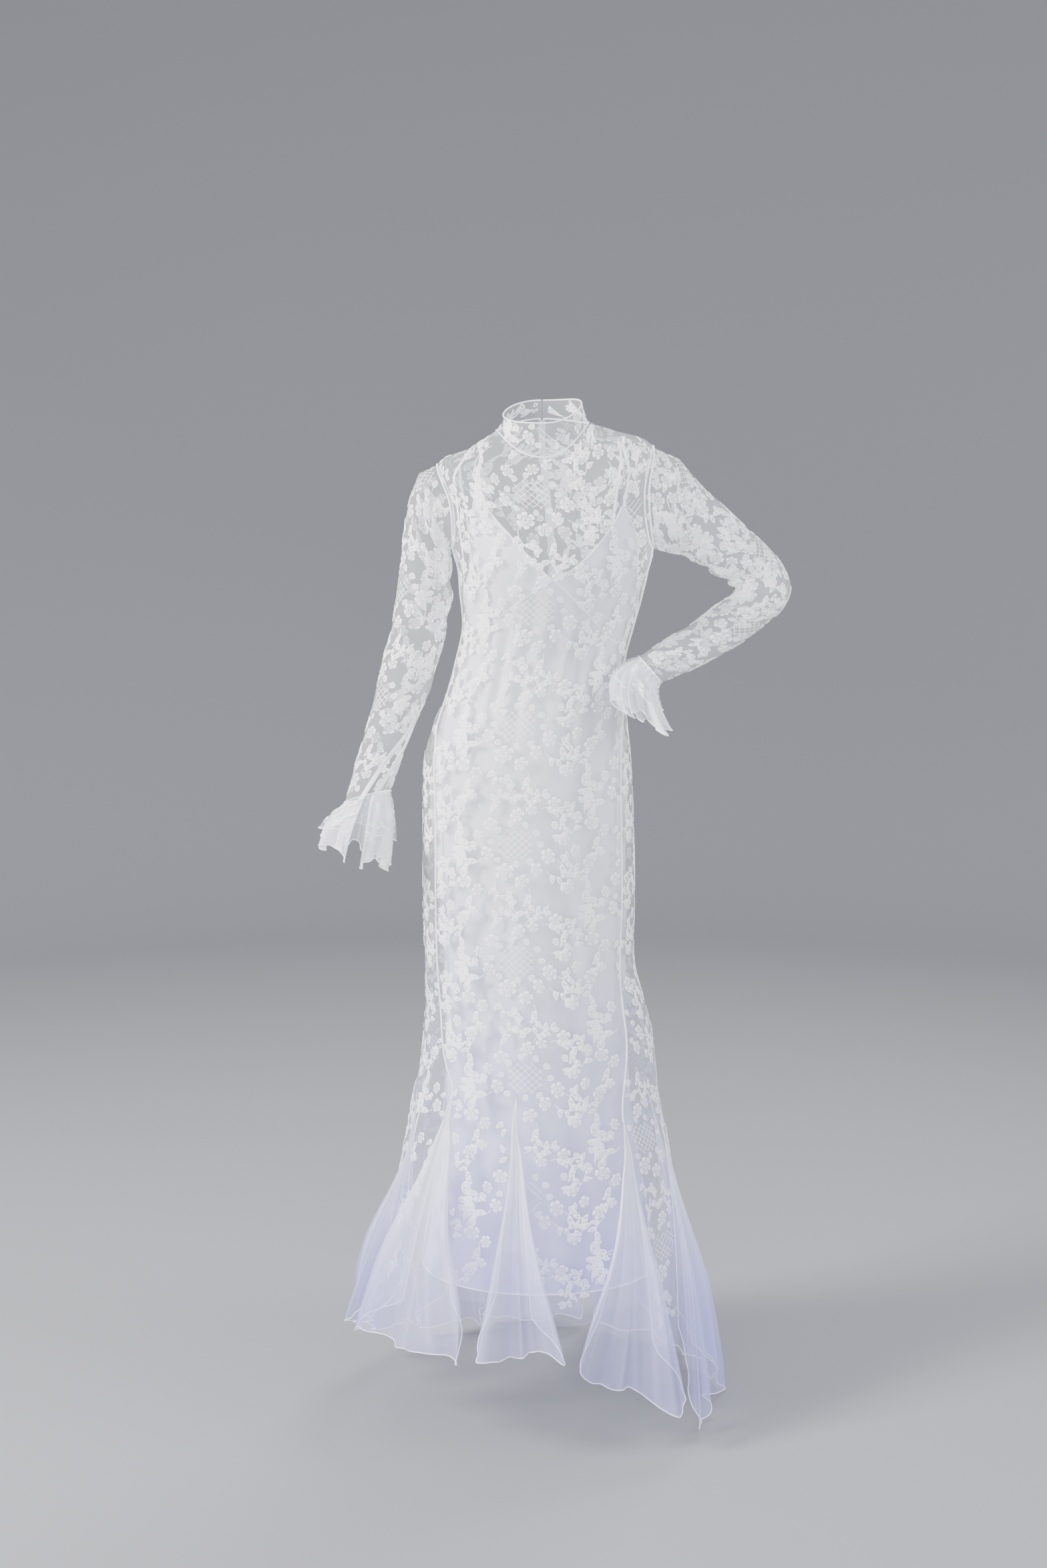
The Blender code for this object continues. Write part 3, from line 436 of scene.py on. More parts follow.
def ring_point(ring, side, turn):
    """A point of a sleeve's ring, from its outer edge round the front on the right arm."""
    spin = math.radians(turn)
    outer = Vector((ring["outer_x"], ring["mid_y"], ring["outer_z"]))
    inner = Vector((ring["inner_x"], ring["mid_y"], ring["inner_z"]))
    front = Vector((0.0, -ring["half_y"], 0.0))
    return (outer + inner) / 2 + (outer - inner) / 2 * math.cos(spin) + front * math.sin(spin)


def ring_middle(ring):
    return Vector((
        (ring["outer_x"] + ring["inner_x"]) / 2, ring["mid_y"],
        (ring["outer_z"] + ring["inner_z"]) / 2))


def sleeve_point(side, turn, at):
    """A point of a sleeve at ring number at: 0 is the armhole."""
    rings = SLEEVES[side]
    if at >= 1:
        numbered = [dict(ring, number=i + 1) for i, ring in enumerate(rings)]
        ring = {name: value(numbered, at, name, "number") for name in RING.split()}
        return ring_point(ring, side, turn)
    edge = armhole_point(side, turn)
    centre = (armhole_point(side, 0) + armhole_point(side, 180)) / 2
    edge += (centre - edge).normalized() * ARMHOLE_INSET
    return edge.lerp(ring_point(rings[0], side, turn), at)


def slit_half(at):
    """Half the opening of the slit over the right wrist, in degrees of the ring."""
    last = len(SLEEVES["right"])
    t = min(1.0, max(0.0, (at - SLIT_FROM) / (last - SLIT_FROM)))
    return SLIT_HALF * math.sqrt(t) * (SLIT_SWELL - SLIT_NARROWING * t)


def under_bust(angle):
    """The level of the seam under the cups."""
    drop = UNDER_BUST_DROP["left" if angle > 0 else "right"]
    return UNDER_BUST + drop * math.sin(math.radians(90 * min(1.0, abs(angle) / UNDER_BUST_AT)))


def back_top(angle):
    """The level of the slip's top edge at the back."""
    return BACK_TOP + BACK_DIP * math.cos(math.radians(angle)) ** 2


# Creases listed for the lace: where each starts and ends, its width in degrees and its depth.
# A negative depth is a ridge.
CREASES = table("angle down to_angle to_down width depth", [
    (-58, 0.17, -30, 0.31, 7, 0.0030),
    (60, 0.16, 34, 0.30, 7, 0.0032),
    (-74, 0.24, -48, 0.37, 6, 0.0026),
    (75, 0.24, 50, 0.36, 6, 0.0026),
    (-20, 0.30, -38, 0.46, 6, -0.0018),
    (20, 0.31, 40, 0.47, 6, -0.0018),
    (-6, 0.42, -14, 1.05, 5, 0.0024),
    (14, 0.50, 22, 1.10, 6, -0.0022),
    (-30, 0.45, -26, 0.98, 5, -0.0020),
    (36, 0.52, 30, 1.08, 6, 0.0026),
    (-46, 0.55, -42, 0.95, 5, 0.0026),
    (52, 0.60, 47, 1.00, 5, -0.0018),
    (-24, 0.08, -6, 0.16, 7, 0.0016),
    (28, 0.07, 10, 0.17, 7, 0.0016),
    (110, 0.16, 140, 0.33, 7, 0.0030),
    (-112, 0.16, -142, 0.33, 7, 0.0030),
    (100, 0.34, 150, 0.42, 7, 0.0022),
    (-102, 0.33, -148, 0.42, 7, 0.0022),
    (95, 0.50, 88, 1.05, 7, -0.0024),
    (-98, 0.50, -90, 1.05, 7, -0.0024),
    (125, 0.52, 130, 1.10, 7, 0.0026),
    (-122, 0.52, -128, 1.10, 7, 0.0026),
    (158, 0.50, 163, 1.05, 6, -0.0022),
    (-155, 0.50, -160, 1.05, 6, -0.0022),
])

# Soft folds of the slip, fine below the bust and long down the skirt
DRAGS = table("angle down to_angle to_down width depth", [
    (-44, 0.27, -38, 0.50, 3.5, 0.0022),
    (-36, 0.26, -30, 0.44, 2.8, -0.0018),
    (-27, 0.25, -24, 0.47, 3.0, 0.0024),
    (-18, 0.24, -16, 0.42, 2.6, -0.0020),
    (-10, 0.22, -9, 0.50, 2.6, 0.0024),
    (-2, 0.21, -2, 0.44, 2.4, -0.0020),
    (6, 0.22, 6, 0.48, 2.6, 0.0022),
    (15, 0.24, 14, 0.43, 2.8, -0.0020),
    (24, 0.25, 22, 0.50, 3.0, 0.0024),
    (34, 0.26, 30, 0.45, 3.0, -0.0018),
    (44, 0.28, 39, 0.48, 3.5, 0.0020),
    (-34, 0.52, -40, 1.28, 8, 0.0040),
    (-8, 0.60, -6, 1.28, 7, -0.0036),
    (18, 0.55, 26, 1.28, 8, 0.0044),
    (48, 0.60, 50, 1.28, 8, -0.0034),
    (-66, 0.60, -64, 1.28, 8, -0.0034),
    (84, 0.55, 92, 1.28, 8, 0.0040),
    (120, 0.50, 126, 1.28, 9, -0.0036),
    (150, 0.45, 148, 1.28, 8, 0.0038),
    (180, 0.50, 180, 1.28, 8, -0.0030),
    (-150, 0.45, -152, 1.28, 8, 0.0038),
    (-118, 0.50, -122, 1.28, 9, -0.0036),
    (-92, 0.55, -96, 1.28, 8, 0.0036),
])

# One repeat of the lace: its size in metres, and its flowers, vines and buds in millimetres
REPEAT_WIDE, REPEAT_TALL = 0.200, 0.177
FLOWERS = table("x y size petals turn", [
    (-36, -30, 13, 5, 12),
    (-56, -12, 10, 6, 40),
    (-42, 14, 12, 5, 64),
    (4, -44, 13, 6, 20),
    (26, -52, 10, 5, 5),
    (-16, 42, 17, 6, 0),
    (10, 56, 13, 5, 30),
    (32, 38, 12, 5, 52),
    (50, 18, 14, 6, 10),
    (74, -8, 12, 5, 33),
    (92, 10, 10, 5, 0),
    (-84, -62, 13, 6, 25),
    (-66, -74, 10, 5, 44),
    (60, -62, 12, 5, 18),
    (-80, 58, 14, 5, 8),
    (-58, 70, 11, 6, 30),
    (78, 66, 12, 5, 48),
])
VINES = table("x y heading curl steps", [
    (-36, -40, 250, 11, 9),
    (-62, -4, 170, -10, 11),
    (-50, 22, 130, 9, 10),
    (-30, 56, 110, -12, 9),
    (20, 66, 60, 9, 11),
    (46, 40, 50, -9, 10),
    (62, 24, 20, 10, 9),
    (84, -14, 320, -10, 10),
    (14, -54, 290, 9, 8),
    (40, -54, 330, 12, 8),
    (-76, -54, 150, -9, 9),
    (-92, 44, 250, 9, 11),
    (-70, 70, 60, 10, 8),
    (88, 60, 300, -10, 9),
    (68, -50, 40, 11, 9),
    (-70, 30, 190, 12, 8),
])
BUDS = table("x y size turn", [
    (-26, 24, 4.6, 200),
    (-36, -4, 4.4, 170),
    (-24, -22, 4.6, 130),
    (-6, -32, 4.6, 95),
    (16, -30, 4.6, 60),
    (32, -18, 4.8, 30),
    (38, 0, 4.6, 0),
    (22, 26, 4.6, 320),
    (2, 30, 4.4, 275),
    (60, -30, 5.2, 60),
    (-10, 76, 5.0, 100),
    (96, -44, 5.0, 20),
    (-96, 10, 5.0, 190),
])
MESH_WIDE, MESH_TALL, MESH_PITCH, MESH_THREAD = 0.058, 0.046, 0.0078, 0.0009
MESH_STEPS, MESH_SLANT, MESH_SPREAD, MESH_SQUARE, MESH_HIGH = 12, 0.9, 1.3, 3, 0.4
RELIEF, MOTIF_LIFT = 0.0006, 0.0005
SLIT_THIN = 0.7
# Rings of each form: share of its outline, share of the relief's height, and cover
FLOWER_RINGS = [
    (1.0, 0.2, 1.0), (0.88, 1.0, 1.0), (0.46, 0.6, 0.34), (0.24, 1.3, 1.0), (0.10, 0.3, 0.0)]
LEAF_RINGS = [(1.0, 0.3, 1.0), (0.74, 1.0, 1.0), (0.03, 0.2, 0.10)]
BUD_RINGS = [(1.0, 0.3, 1.0), (0.68, 1.0, 1.0), (0.50, 0.2, 0.0), (0.30, 0.8, 1.0), (0.08, 0.6, 1.0)]
RINGLET_RINGS = [(1.0, 0.5, 1.0), (0.55, 0.5, 1.0)]
# The forms' outlines: points, widths and tips
PETAL_POINTS, FLOWER_SHARE, PETAL_ROUND, PETAL_LONG, PETAL_UNEVEN = 7, 0.88, 0.45, 0.50, 0.10
NOTCH_DEEP, NOTCH_WIDE = 0.10, 0.10
LEAF_POINTS, LEAF_WIDE, LEAF_TAPER = 10, 0.48, 0.35
BUD_POINTS, BUD_TIP, BUD_SHARP = 11, 0.45, 6
RINGLET_POINTS, RINGLET_SIZE, RINGLET_OUT = 8, 0.0030, 0.0036
VINE_STEP, VINE_THREAD, VINE_HIGH, VINE_EYE = 0.0052, 0.0012, 0.7, 0.0046
LEAF_TURN, LEAF_LONG, LEAF_SHRINK = 50, 0.0150, 0.0003


# Forms with their folds

# Folds run a little past their ends, fade in and out there, and are uneven in depth
FOLD_PAST, FOLD_IN, FOLD_OUT, FOLD_REACH = 0.1, 0.35, 0.45, 3
FOLD_UNEVEN, FOLD_BEATS = 0.25, 9
DRAG_SHARE = 1.6


def fold_depth(rows, angle, down):
    """How far the folds of a table set a point in."""
    total = 0.0
    for row in rows:
        span = row["to_down"] - row["down"]
        t = (down - row["down"]) / span
        if not -FOLD_PAST < t < 1 + FOLD_PAST:
            continue
        middle = lerp(row["angle"], row["to_angle"], t)
        apart = (angle - middle + 180) % 360 - 180
        if abs(apart) > FOLD_REACH * row["width"]:
            continue
        fade = ease((t + FOLD_PAST) / FOLD_IN) * ease((1 + FOLD_PAST - t) / FOLD_OUT)
        uneven = 1 + FOLD_UNEVEN * math.sin(FOLD_BEATS * t + row["angle"])
        total += row["depth"] * fade * uneven * math.exp(-((apart / row["width"]) ** 2))
    return total


def draped_lace(angle, down):
    depth = fold_depth(CREASES, angle, down)
    if depth == 0.0:
        return lace_form(angle, down)
    return lace_out(angle, down, -depth)


def draped_slip(angle, down):
    depth = DRAG_SHARE * fold_depth(DRAGS, angle, down)
    if depth == 0.0:
        return slip_form(angle, down)
    return slip_form(angle, down) - depth * normal_of(slip_form, angle, down)


# Meshes

def placed(name, data):
    """An object in the scene that shows the data given."""
    obj = bpy.data.objects.new(name, data)
    bpy.context.scene.collection.objects.link(obj)
    return obj


def grid_of(point, columns, rows):
    """Points of a surface as an array of rows by columns."""
    return np.array([
        [point(c / columns, r / rows) for c in range(columns + 1)] for r in range(rows + 1)])


def cloth_lengths(grid, middle):
    """Lengths on the cloth, in metres: across from the middle column, and down along it."""
    across = np.linalg.norm(np.diff(grid, axis=1), axis=2)
    across = np.pad(np.cumsum(across, axis=1), ((0, 0), (1, 0)))
    across -= across[:, middle][:, None]
    down = np.linalg.norm(np.diff(grid[:, middle], axis=0), axis=1)
    return across, np.concatenate([[0.0], np.cumsum(down)])


def ring_faces(start, rings, count):
    """Faces between closed rings of points that follow each other from the one numbered start."""
    faces = []
    for ring in range(rings - 1):
        for k in range(count):
            a, b = start + ring * count + k, start + ring * count + (k + 1) % count
            faces.append((a, b, b + count, a + count))
    return faces


def mesh_object(name, points, faces, material, uvs=None, levels=None):
    """A smooth mesh with cloth coordinates and, for each point, a level between 0 and 1."""
    mesh = bpy.data.meshes.new(name)
    mesh.from_pydata([tuple(p) for p in points], [], [tuple(f) for f in faces])
    mesh.materials.append(material)
    if uvs is not None:
        layer = mesh.uv_layers.new(name="cloth")
        corners = np.zeros(len(mesh.loops), np.int64)
        mesh.loops.foreach_get("vertex_index", corners)
        layer.data.foreach_set("uv", np.asarray(uvs, np.float32)[corners].ravel())
    if levels is not None:
        attribute = mesh.attributes.new("cover", "FLOAT", "POINT")
        attribute.data.foreach_set("value", np.asarray(levels, np.float32))
    mesh.shade_smooth()
    return placed(name, mesh)


def shell(name, grids, material, covers=None):
    """A thin shell of cloth from one or more grids that share edges."""
    points, faces, uvs, levels = [], [], [], []
    for k, grid in enumerate(grids):
        rows, columns = grid.shape[:2]
        start = len(points)
        points.extend(grid.reshape(-1, 3))
        across, down = cloth_lengths(grid, columns // 2)
        downs = np.repeat(down[:, None], columns, axis=1)
        uvs.extend(np.stack([across, downs], axis=2).reshape(-1, 2))
        if covers is not None:
            levels.extend(covers[k].ravel())
        for r in range(rows - 1):
            for c in range(columns - 1):
                a = start + r * columns + c
                faces.append((a, a + columns, a + columns + 1, a + 1))
    obj = mesh_object(name, points, faces, material, uvs, levels if covers is not None else None)
    if len(grids) > 1:
        weld(obj)
    return obj


def weld(obj):
    """Joins the edges that neighbouring grids share."""
    joined = obj.modifiers.new("weld", "WELD")
    joined.merge_threshold = 0.00005
    bpy.context.view_layer.objects.active = obj
    bpy.ops.object.modifier_apply(modifier=joined.name)


def trim(name, lines, radius):
    """Sewn edges and cords of thread as round lines through points."""
    curve = bpy.data.curves.new(name, "CURVE")
    curve.dimensions = "3D"
    curve.bevel_depth = radius
    curve.bevel_resolution = 2
    for line in lines:
        spline = curve.splines.new("POLY")
        spline.points.add(len(line) - 1)
        for point, place in zip(spline.points, line):
            point.co = (*place, 1.0)
    curve.materials.append(BINDING)
    obj = placed(name, curve)
    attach(obj, "root")
    return obj


def wear(obj, node):
    """Puts a piece in place of its node, and hides the node's imported part."""
    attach(obj, "root")
    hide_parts(node)


# Charts of the lace, on which the motifs are laid

CHART_STEPS, LEAST_STRETCH, CHART_EDGE = 401, 0.4, 0.01


def sample(grid, row, column):
    """Values of an array of rows by columns, read between them."""
    r = np.clip(np.floor(row).astype(int), 0, grid.shape[0] - 2)
    c = np.clip(np.floor(column).astype(int), 0, grid.shape[1] - 2)
    down, across = row - r, column - c
    if grid.ndim == 3:
        down, across = down[:, None], across[:, None]
    top = grid[r, c] * (1 - across) + grid[r, c + 1] * across
    low = grid[r + 1, c] * (1 - across) + grid[r + 1, c + 1] * across
    return top * (1 - down) + low * down


class Chart:
    """A form laid flat: metres across from a meridian, and metres down along it."""

    def __init__(self, form, angles, levels, meridian, reach):
        self.angles, self.levels = np.array(angles, float), np.array(levels, float)
        self.points = np.array([[form(a, level) for a in angles] for level in levels])
        middle = int(np.argmin(np.abs(self.angles - meridian)))
        across, self.down = cloth_lengths(self.points, middle)
        self.reach = np.linspace(-reach, reach, CHART_STEPS)
        columns = np.arange(len(angles))
        self.column = np.array([np.interp(self.reach, row, columns) for row in across])
        round_it = np.gradient(self.points, axis=1)
        down_it = np.gradient(self.points, axis=0)
        normals = np.cross(down_it, round_it)
        outward = np.sum(normals * (self.points - self.points.mean(axis=1, keepdims=True)))
        normals *= math.copysign(1.0, outward)
        self.normals = normals / np.linalg.norm(normals, axis=2)[:, :, None]
        stretch = np.linalg.norm(down_it, axis=2) / np.gradient(self.down)[:, None]
        self.stretch = np.maximum(stretch, LEAST_STRETCH)

    def find(self, across, down):
        row = np.interp(down, self.down, np.arange(len(self.levels)))
        k = (across - self.reach[0]) / (self.reach[1] - self.reach[0])
        column = sample(self.column, row, np.clip(k, 0, len(self.reach) - 1.001))
        return row, column

    def lay(self, points, centres):
        """Places, angles and levels of points given as metres across, metres down and height."""
        row, column = self.find(centres[:, 0], centres[:, 1])
        stretch = sample(self.stretch, row, column)
        down = centres[:, 1] + (points[:, 1] - centres[:, 1]) / stretch
        row, column = self.find(points[:, 0], down)
        places = sample(self.points, row, column) + sample(self.normals, row, column) * points[:, 2:3]
        angles = np.interp(column, np.arange(len(self.angles)), self.angles)
        levels = np.interp(row, np.arange(len(self.levels)), self.levels)
        last = len(self.angles) - 1
        inside = (down > 0) & (down < self.down[-1])
        inside &= (column > CHART_EDGE) & (column < last - CHART_EDGE)
        return places, angles, levels, inside


# Motifs of the lace, each a list of rings of points and the cover of each ring

class Stitches:
    """Gathers the raised forms of one repeat."""

    def __init__(self):
        self.points, self.faces, self.covers, self.owner, self.centres = [], [], [], [], []

    def rings(self, centre, outline, steps, slits=None):
        """A form of nested rings. Slits thin the middle rings, by a share for each outline point."""
        start = len(self.points)
        for k, (share, height, cover) in enumerate(steps):
            for i, (x, y) in enumerate(outline):
                thin = slits[i] if slits and 0 < k < len(steps) - 2 else 0.0
                lift = height * RELIEF * (1 - thin)
                self.points.append((centre[0] + x * share, centre[1] + y * share, lift))
                self.covers.append(cover * (1 - SLIT_THIN * thin))
        self.faces.extend(ring_faces(start, len(steps), len(outline)))
        self.own(start, centre)

    def ribbon(self, line, width, height):
        start = len(self.points)
        for i, (x, y) in enumerate(line):
            before, after = line[max(i - 1, 0)], line[min(i + 1, len(line) - 1)]
            dx, dy = after[0] - before[0], after[1] - before[1]
            size = math.hypot(dx, dy)
            nx, ny = -dy / size * width / 2, dx / size * width / 2
            self.points.extend([(x + nx, y + ny, height), (x - nx, y - ny, height)])
            self.covers.extend([1.0, 1.0])
        for i in range(len(line) - 1):
            a = start + 2 * i
            self.faces.append((a, a + 2, a + 3, a + 1))
        self.own(start, line[len(line) // 2])

    def own(self, start, centre):
        owner = len(self.centres)
        self.centres.append(centre)
        self.owner.extend([owner] * (len(self.points) - start))

    def arrays(self):
        return (np.array(self.points), np.array(self.covers), np.array(self.owner),
                np.array(self.centres), self.faces)


def polar(radius, count, turn=0.0):
    """An outline whose radius is a function of the angle round it."""
    spins = [2 * math.pi * k / count for k in range(count)]
    return [(radius(s) * math.cos(s + turn), radius(s) * math.sin(s + turn)) for s in spins]


def flower(stitches, row):
    """Notched petals round a small open eye, with a thin slit between each two."""
    size, petals = row["size"] / 1000 * FLOWER_SHARE, row["petals"]

    def reach(spin):
        phase = (petals * spin / (2 * math.pi)) % 1
        lobe = math.sin(math.pi * phase) ** PETAL_ROUND
        notch = NOTCH_DEEP * math.exp(-(((phase - 0.5) / NOTCH_WIDE) ** 2))
        uneven = 1 + PETAL_UNEVEN * math.sin(spin * 2 + row["x"])
        return size * uneven * (1 - PETAL_LONG + PETAL_LONG * lobe - notch)

    outline = polar(reach, petals * PETAL_POINTS, math.radians(row["turn"]))
    slits = [1.0 if k % PETAL_POINTS == 0 else 0.0 for k in range(len(outline))]
    stitches.rings((row["x"] / 1000, row["y"] / 1000), outline, FLOWER_RINGS, slits)


def leaf(stitches, x, y, heading, length):
    """A pointed leaf with a dense rim and a thinner middle."""
    half = length / 2
    turn = math.radians(heading)
    outline = []
    for k in range(LEAF_POINTS):
        spin = 2 * math.pi * k / LEAF_POINTS
        ahead, wide = math.cos(spin), math.sin(spin)
        px, py = half * ahead, LEAF_WIDE * half * wide * (1 - LEAF_TAPER * ahead)
        outline.append((
            px * math.cos(turn) - py * math.sin(turn), px * math.sin(turn) + py * math.cos(turn)))
    stitches.rings((x + half * math.cos(turn), y + half * math.sin(turn)), outline, LEAF_RINGS)


def bud(stitches, x, y, size, turn):
    """A round eye with a point, open round its pupil."""
    outline = polar(lambda s: size * (1 + BUD_TIP * max(0.0, math.cos(s)) ** BUD_SHARP), BUD_POINTS,
                    math.radians(turn))
    stitches.rings((x, y), outline, BUD_RINGS)


def ringlet(stitches, x, y, size):
    stitches.rings((x, y), polar(lambda s: size, RINGLET_POINTS), RINGLET_RINGS)


def vine(stitches, row):
    """A curling stem with leaves on both sides, rings and an eye at its end."""
    x, y, heading = row["x"] / 1000, row["y"] / 1000, row["heading"]
    line = [(x, y)]
    for k in range(row["steps"]):
        heading += row["curl"]
        x += VINE_STEP * math.cos(math.radians(heading))
        y += VINE_STEP * math.sin(math.radians(heading))
        line.append((x, y))
        side = 1 if k % 2 else -1
        if 0 < k < row["steps"] - 1 and k % 3 != 2:
            leaf(stitches, x, y, heading + side * LEAF_TURN, LEAF_LONG - LEAF_SHRINK * k)
        elif k % 3 == 2:
            turn = math.radians(heading - side * 90)
            off_x, off_y = RINGLET_OUT * math.cos(turn), RINGLET_OUT * math.sin(turn)
            ringlet(stitches, x + off_x, y + off_y, RINGLET_SIZE)
    stitches.ribbon(line, VINE_THREAD, VINE_HIGH * RELIEF)
    bud(stitches, x, y, VINE_EYE, heading)


def mesh_patch(stitches):
    """A patch of open diamonds with soft corners."""
    lines = int((MESH_WIDE + MESH_TALL) / MESH_PITCH)
    for way in (-1, 1):
        for k in range(-lines // 2, lines // 2 + 1):
            line = []
            for j in range(-MESH_STEPS, MESH_STEPS + 1):
                x = j * (MESH_WIDE + MESH_TALL) / (2 * MESH_STEPS)
                y = way * x * MESH_SLANT + k * MESH_PITCH * MESH_SPREAD
                wide, tall = abs(x) / (MESH_WIDE / 2), abs(y) / (MESH_TALL / 2)
                if wide ** MESH_SQUARE + tall ** MESH_SQUARE < 1:
                    line.append((x, y))
            if len(line) > 1:
                stitches.ribbon(line, MESH_THREAD, MESH_HIGH * RELIEF)


def one_repeat():
    stitches = Stitches()
    for row in FLOWERS:
        flower(stitches, row)
    for row in VINES:
        vine(stitches, row)
    for row in BUDS:
        bud(stitches, row["x"] / 1000, row["y"] / 1000, row["size"] / 1000, row["turn"])
    mesh_patch(stitches)
    return stitches.arrays()


def embroider(name, chart, keep, start):
    """Lays repeats of the motifs over a chart, and drops the forms that cross its edges."""
    points, covers, owner, centres, faces = REPEAT
    faces = np.array(faces)
    all_points, all_faces, all_covers, all_flat = [], [], [], []
    wide = int(chart.reach[-1] / REPEAT_WIDE) + 1
    tall = int(chart.down[-1] / REPEAT_TALL) + 2
    count = 0
    for i in range(-wide, wide + 1):
        for j in range(-1, tall + 1):
            shift = np.array([start[0] + i * REPEAT_WIDE,
                              start[1] + (j + 0.5 * (i % 2)) * REPEAT_TALL])
            flat = points.copy()
            flat[:, :2] += shift
            flat[:, 2] += MOTIF_LIFT
            middle = centres + shift
            if middle[:, 1].max() < 0 or middle[:, 1].min() > chart.down[-1]:
                continue
            places, angles, levels, inside = chart.lay(flat, middle[owner])
            inside &= keep(angles, levels)
            whole = np.ones(len(centres), bool)
            np.logical_and.at(whole, owner, inside)
            shown = whole[owner]
            if not shown.any():
                continue
            number = np.cumsum(shown) - 1 + count
            all_points.append(places[shown])
            all_covers.append(covers[shown])
            all_flat.append(flat[shown, :2])
            all_faces.append(number[faces[shown[faces[:, 0]]]])
            count += int(shown.sum())
    obj = mesh_object(name, np.concatenate(all_points), np.concatenate(all_faces).tolist(), STITCHING,
                      np.concatenate(all_flat), np.concatenate(all_covers))
    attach(obj, "root")
    return obj


# Materials

NET_PITCH, NET_THREAD, NET_COVER, NET_VEIL = 0.0021, 0.28, 0.42, 0.015
STITCH_PITCH, WEAVE_PITCH, CLOSE_THREAD, OPEN_THREAD = 0.0007, 0.0008, 0.9, 0.6
WEAVE_SHARE, TWILL_SHARE = 0.08, 0.12
RIPPLE_SCALE, RIPPLE_DETAIL, FIBRE_SCALE = 26.0, 2.0, 900.0
CLOUD_SCALE, CLOUD_DETAIL, CLOUD_SHARE = 7.0, 3.0, 0.3
COOL_FROM, COOL_TO = -0.55, -1.35


class Finish:
    """A material while it is made, with the shader that its other nodes lead to."""

    def __init__(self, title, colour, roughness, sheen=0.0, specular=0.3):
        self.material = bpy.data.materials.new(title)
        self.material.use_nodes = True
        self.tree = self.material.node_tree
        self.shader = self.tree.nodes["Principled BSDF"]
        self.fill(self.shader, {
            "Base Color": (*colour, 1.0), "Roughness": roughness,
            "Specular IOR Level": specular, "Sheen Weight": sheen})

    def fill(self, node, values):
        """Sets inputs of a node to numbers and colours, or links them to outputs of other nodes."""
        for name, given in values.items():
            if isinstance(given, bpy.types.NodeSocket):
                self.tree.links.new(given, node.inputs[name])
            else:
                node.inputs[name].default_value = given
        return node

    def maths(self, operation, *values):
        node = self.tree.nodes.new("ShaderNodeMath")
        node.operation = operation
        return self.fill(node, dict(enumerate(values))).outputs[0]

    def place(self):
        return self.tree.nodes.new("ShaderNodeTexCoord").outputs["Object"]

    def cover(self):
        """The cover that each point of the mesh carries."""
        node = self.tree.nodes.new("ShaderNodeAttribute")
        node.attribute_name = "cover"
        return node.outputs["Fac"]

    def noise(self, values):
        node = self.tree.nodes.new("ShaderNodeTexNoise")
        return self.fill(node, {"Vector": self.place(), **values}).outputs["Fac"]

    def bump(self, height, strength, distance):
        node = self.tree.nodes.new("ShaderNodeBump")
        self.fill(node, {"Strength": strength, "Distance": distance, "Height": height})
        self.fill(self.shader, {"Normal": node.outputs["Normal"]})

    def cool_below(self, warm, cool, top=COOL_FROM, bottom=COOL_TO):
        """The white cools towards the hem, with a little cloudiness."""
        split = self.fill(self.tree.nodes.new("ShaderNodeSeparateXYZ"), {0: self.place()})
        fall = self.tree.nodes.new("ShaderNodeMapRange")
        fall.interpolation_type = "SMOOTHSTEP"
        self.fill(fall, {"From Min": top, "From Max": bottom, "Value": split.outputs["Z"]})
        cloud = self.noise({"Scale": CLOUD_SCALE, "Detail": CLOUD_DETAIL})
        drift = self.maths("MULTIPLY_ADD", cloud, CLOUD_SHARE, -CLOUD_SHARE / 2)
        mix = self.tree.nodes.new("ShaderNodeMix")
        mix.data_type = "RGBA"
        share = self.maths("ADD", fall.outputs[0], drift)
        self.fill(mix, {"A": (*warm, 1.0), "B": (*cool, 1.0), "Factor": share})
        self.fill(self.shader, {"Base Color": mix.outputs["Result"]})

    def threads(self, pitch, slant, thread):
        """1 on the threads that run one way over the cloth, and 0 between them, softly."""
        cloth = self.tree.nodes.new("ShaderNodeUVMap")
        cloth.uv_map = "cloth"
        turn = math.radians(slant)
        across = (math.cos(turn) * math.pi / pitch, math.sin(turn) * math.pi / pitch, 0.0)
        phase = self.tree.nodes.new("ShaderNodeVectorMath")
        phase.operation = "DOT_PRODUCT"
        self.fill(phase, {0: cloth.outputs["UV"], 1: across})
        high = self.maths("ABSOLUTE", self.maths("SINE", phase.outputs["Value"]))
        step = self.tree.nodes.new("ShaderNodeMapRange")
        edge = math.sin(math.pi / 2 * thread)
        return self.fill(step, {"From Min": edge, "From Max": 0.0, "Value": high}).outputs[0]


def net_material():
    """A fine six-sided net of thread."""
    net = Finish("net", (0.93, 0.93, 0.96), 0.75, sheen=0.15, specular=0.2)
    net.cool_below((0.90, 0.90, 0.93), (0.66, 0.66, 0.95))
    one, two, three = [net.threads(NET_PITCH, slant, NET_THREAD) for slant in (0, 60, 120)]
    lines = net.maths("MAXIMUM", net.maths("MAXIMUM", one, two), three)
    veil = net.maths("ADD", net.maths("MULTIPLY", lines, NET_COVER), NET_VEIL)
    net.fill(net.shader, {"Alpha": veil})
    return net.material


def motif_material():
    """Raised white stitching, thinner inside petals and leaves and open round the eyes."""
    stitching = Finish("stitching", (0.97, 0.97, 0.98), 0.65, sheen=0.25)
    stitching.cool_below((0.99, 0.99, 0.995), (0.86, 0.86, 1.0))
    stitching.fill(stitching.shader, {"Alpha": stitching.cover()})
    stitching.bump(stitching.threads(STITCH_PITCH, 35, CLOSE_THREAD), 0.35, 0.0002)
    return stitching.material


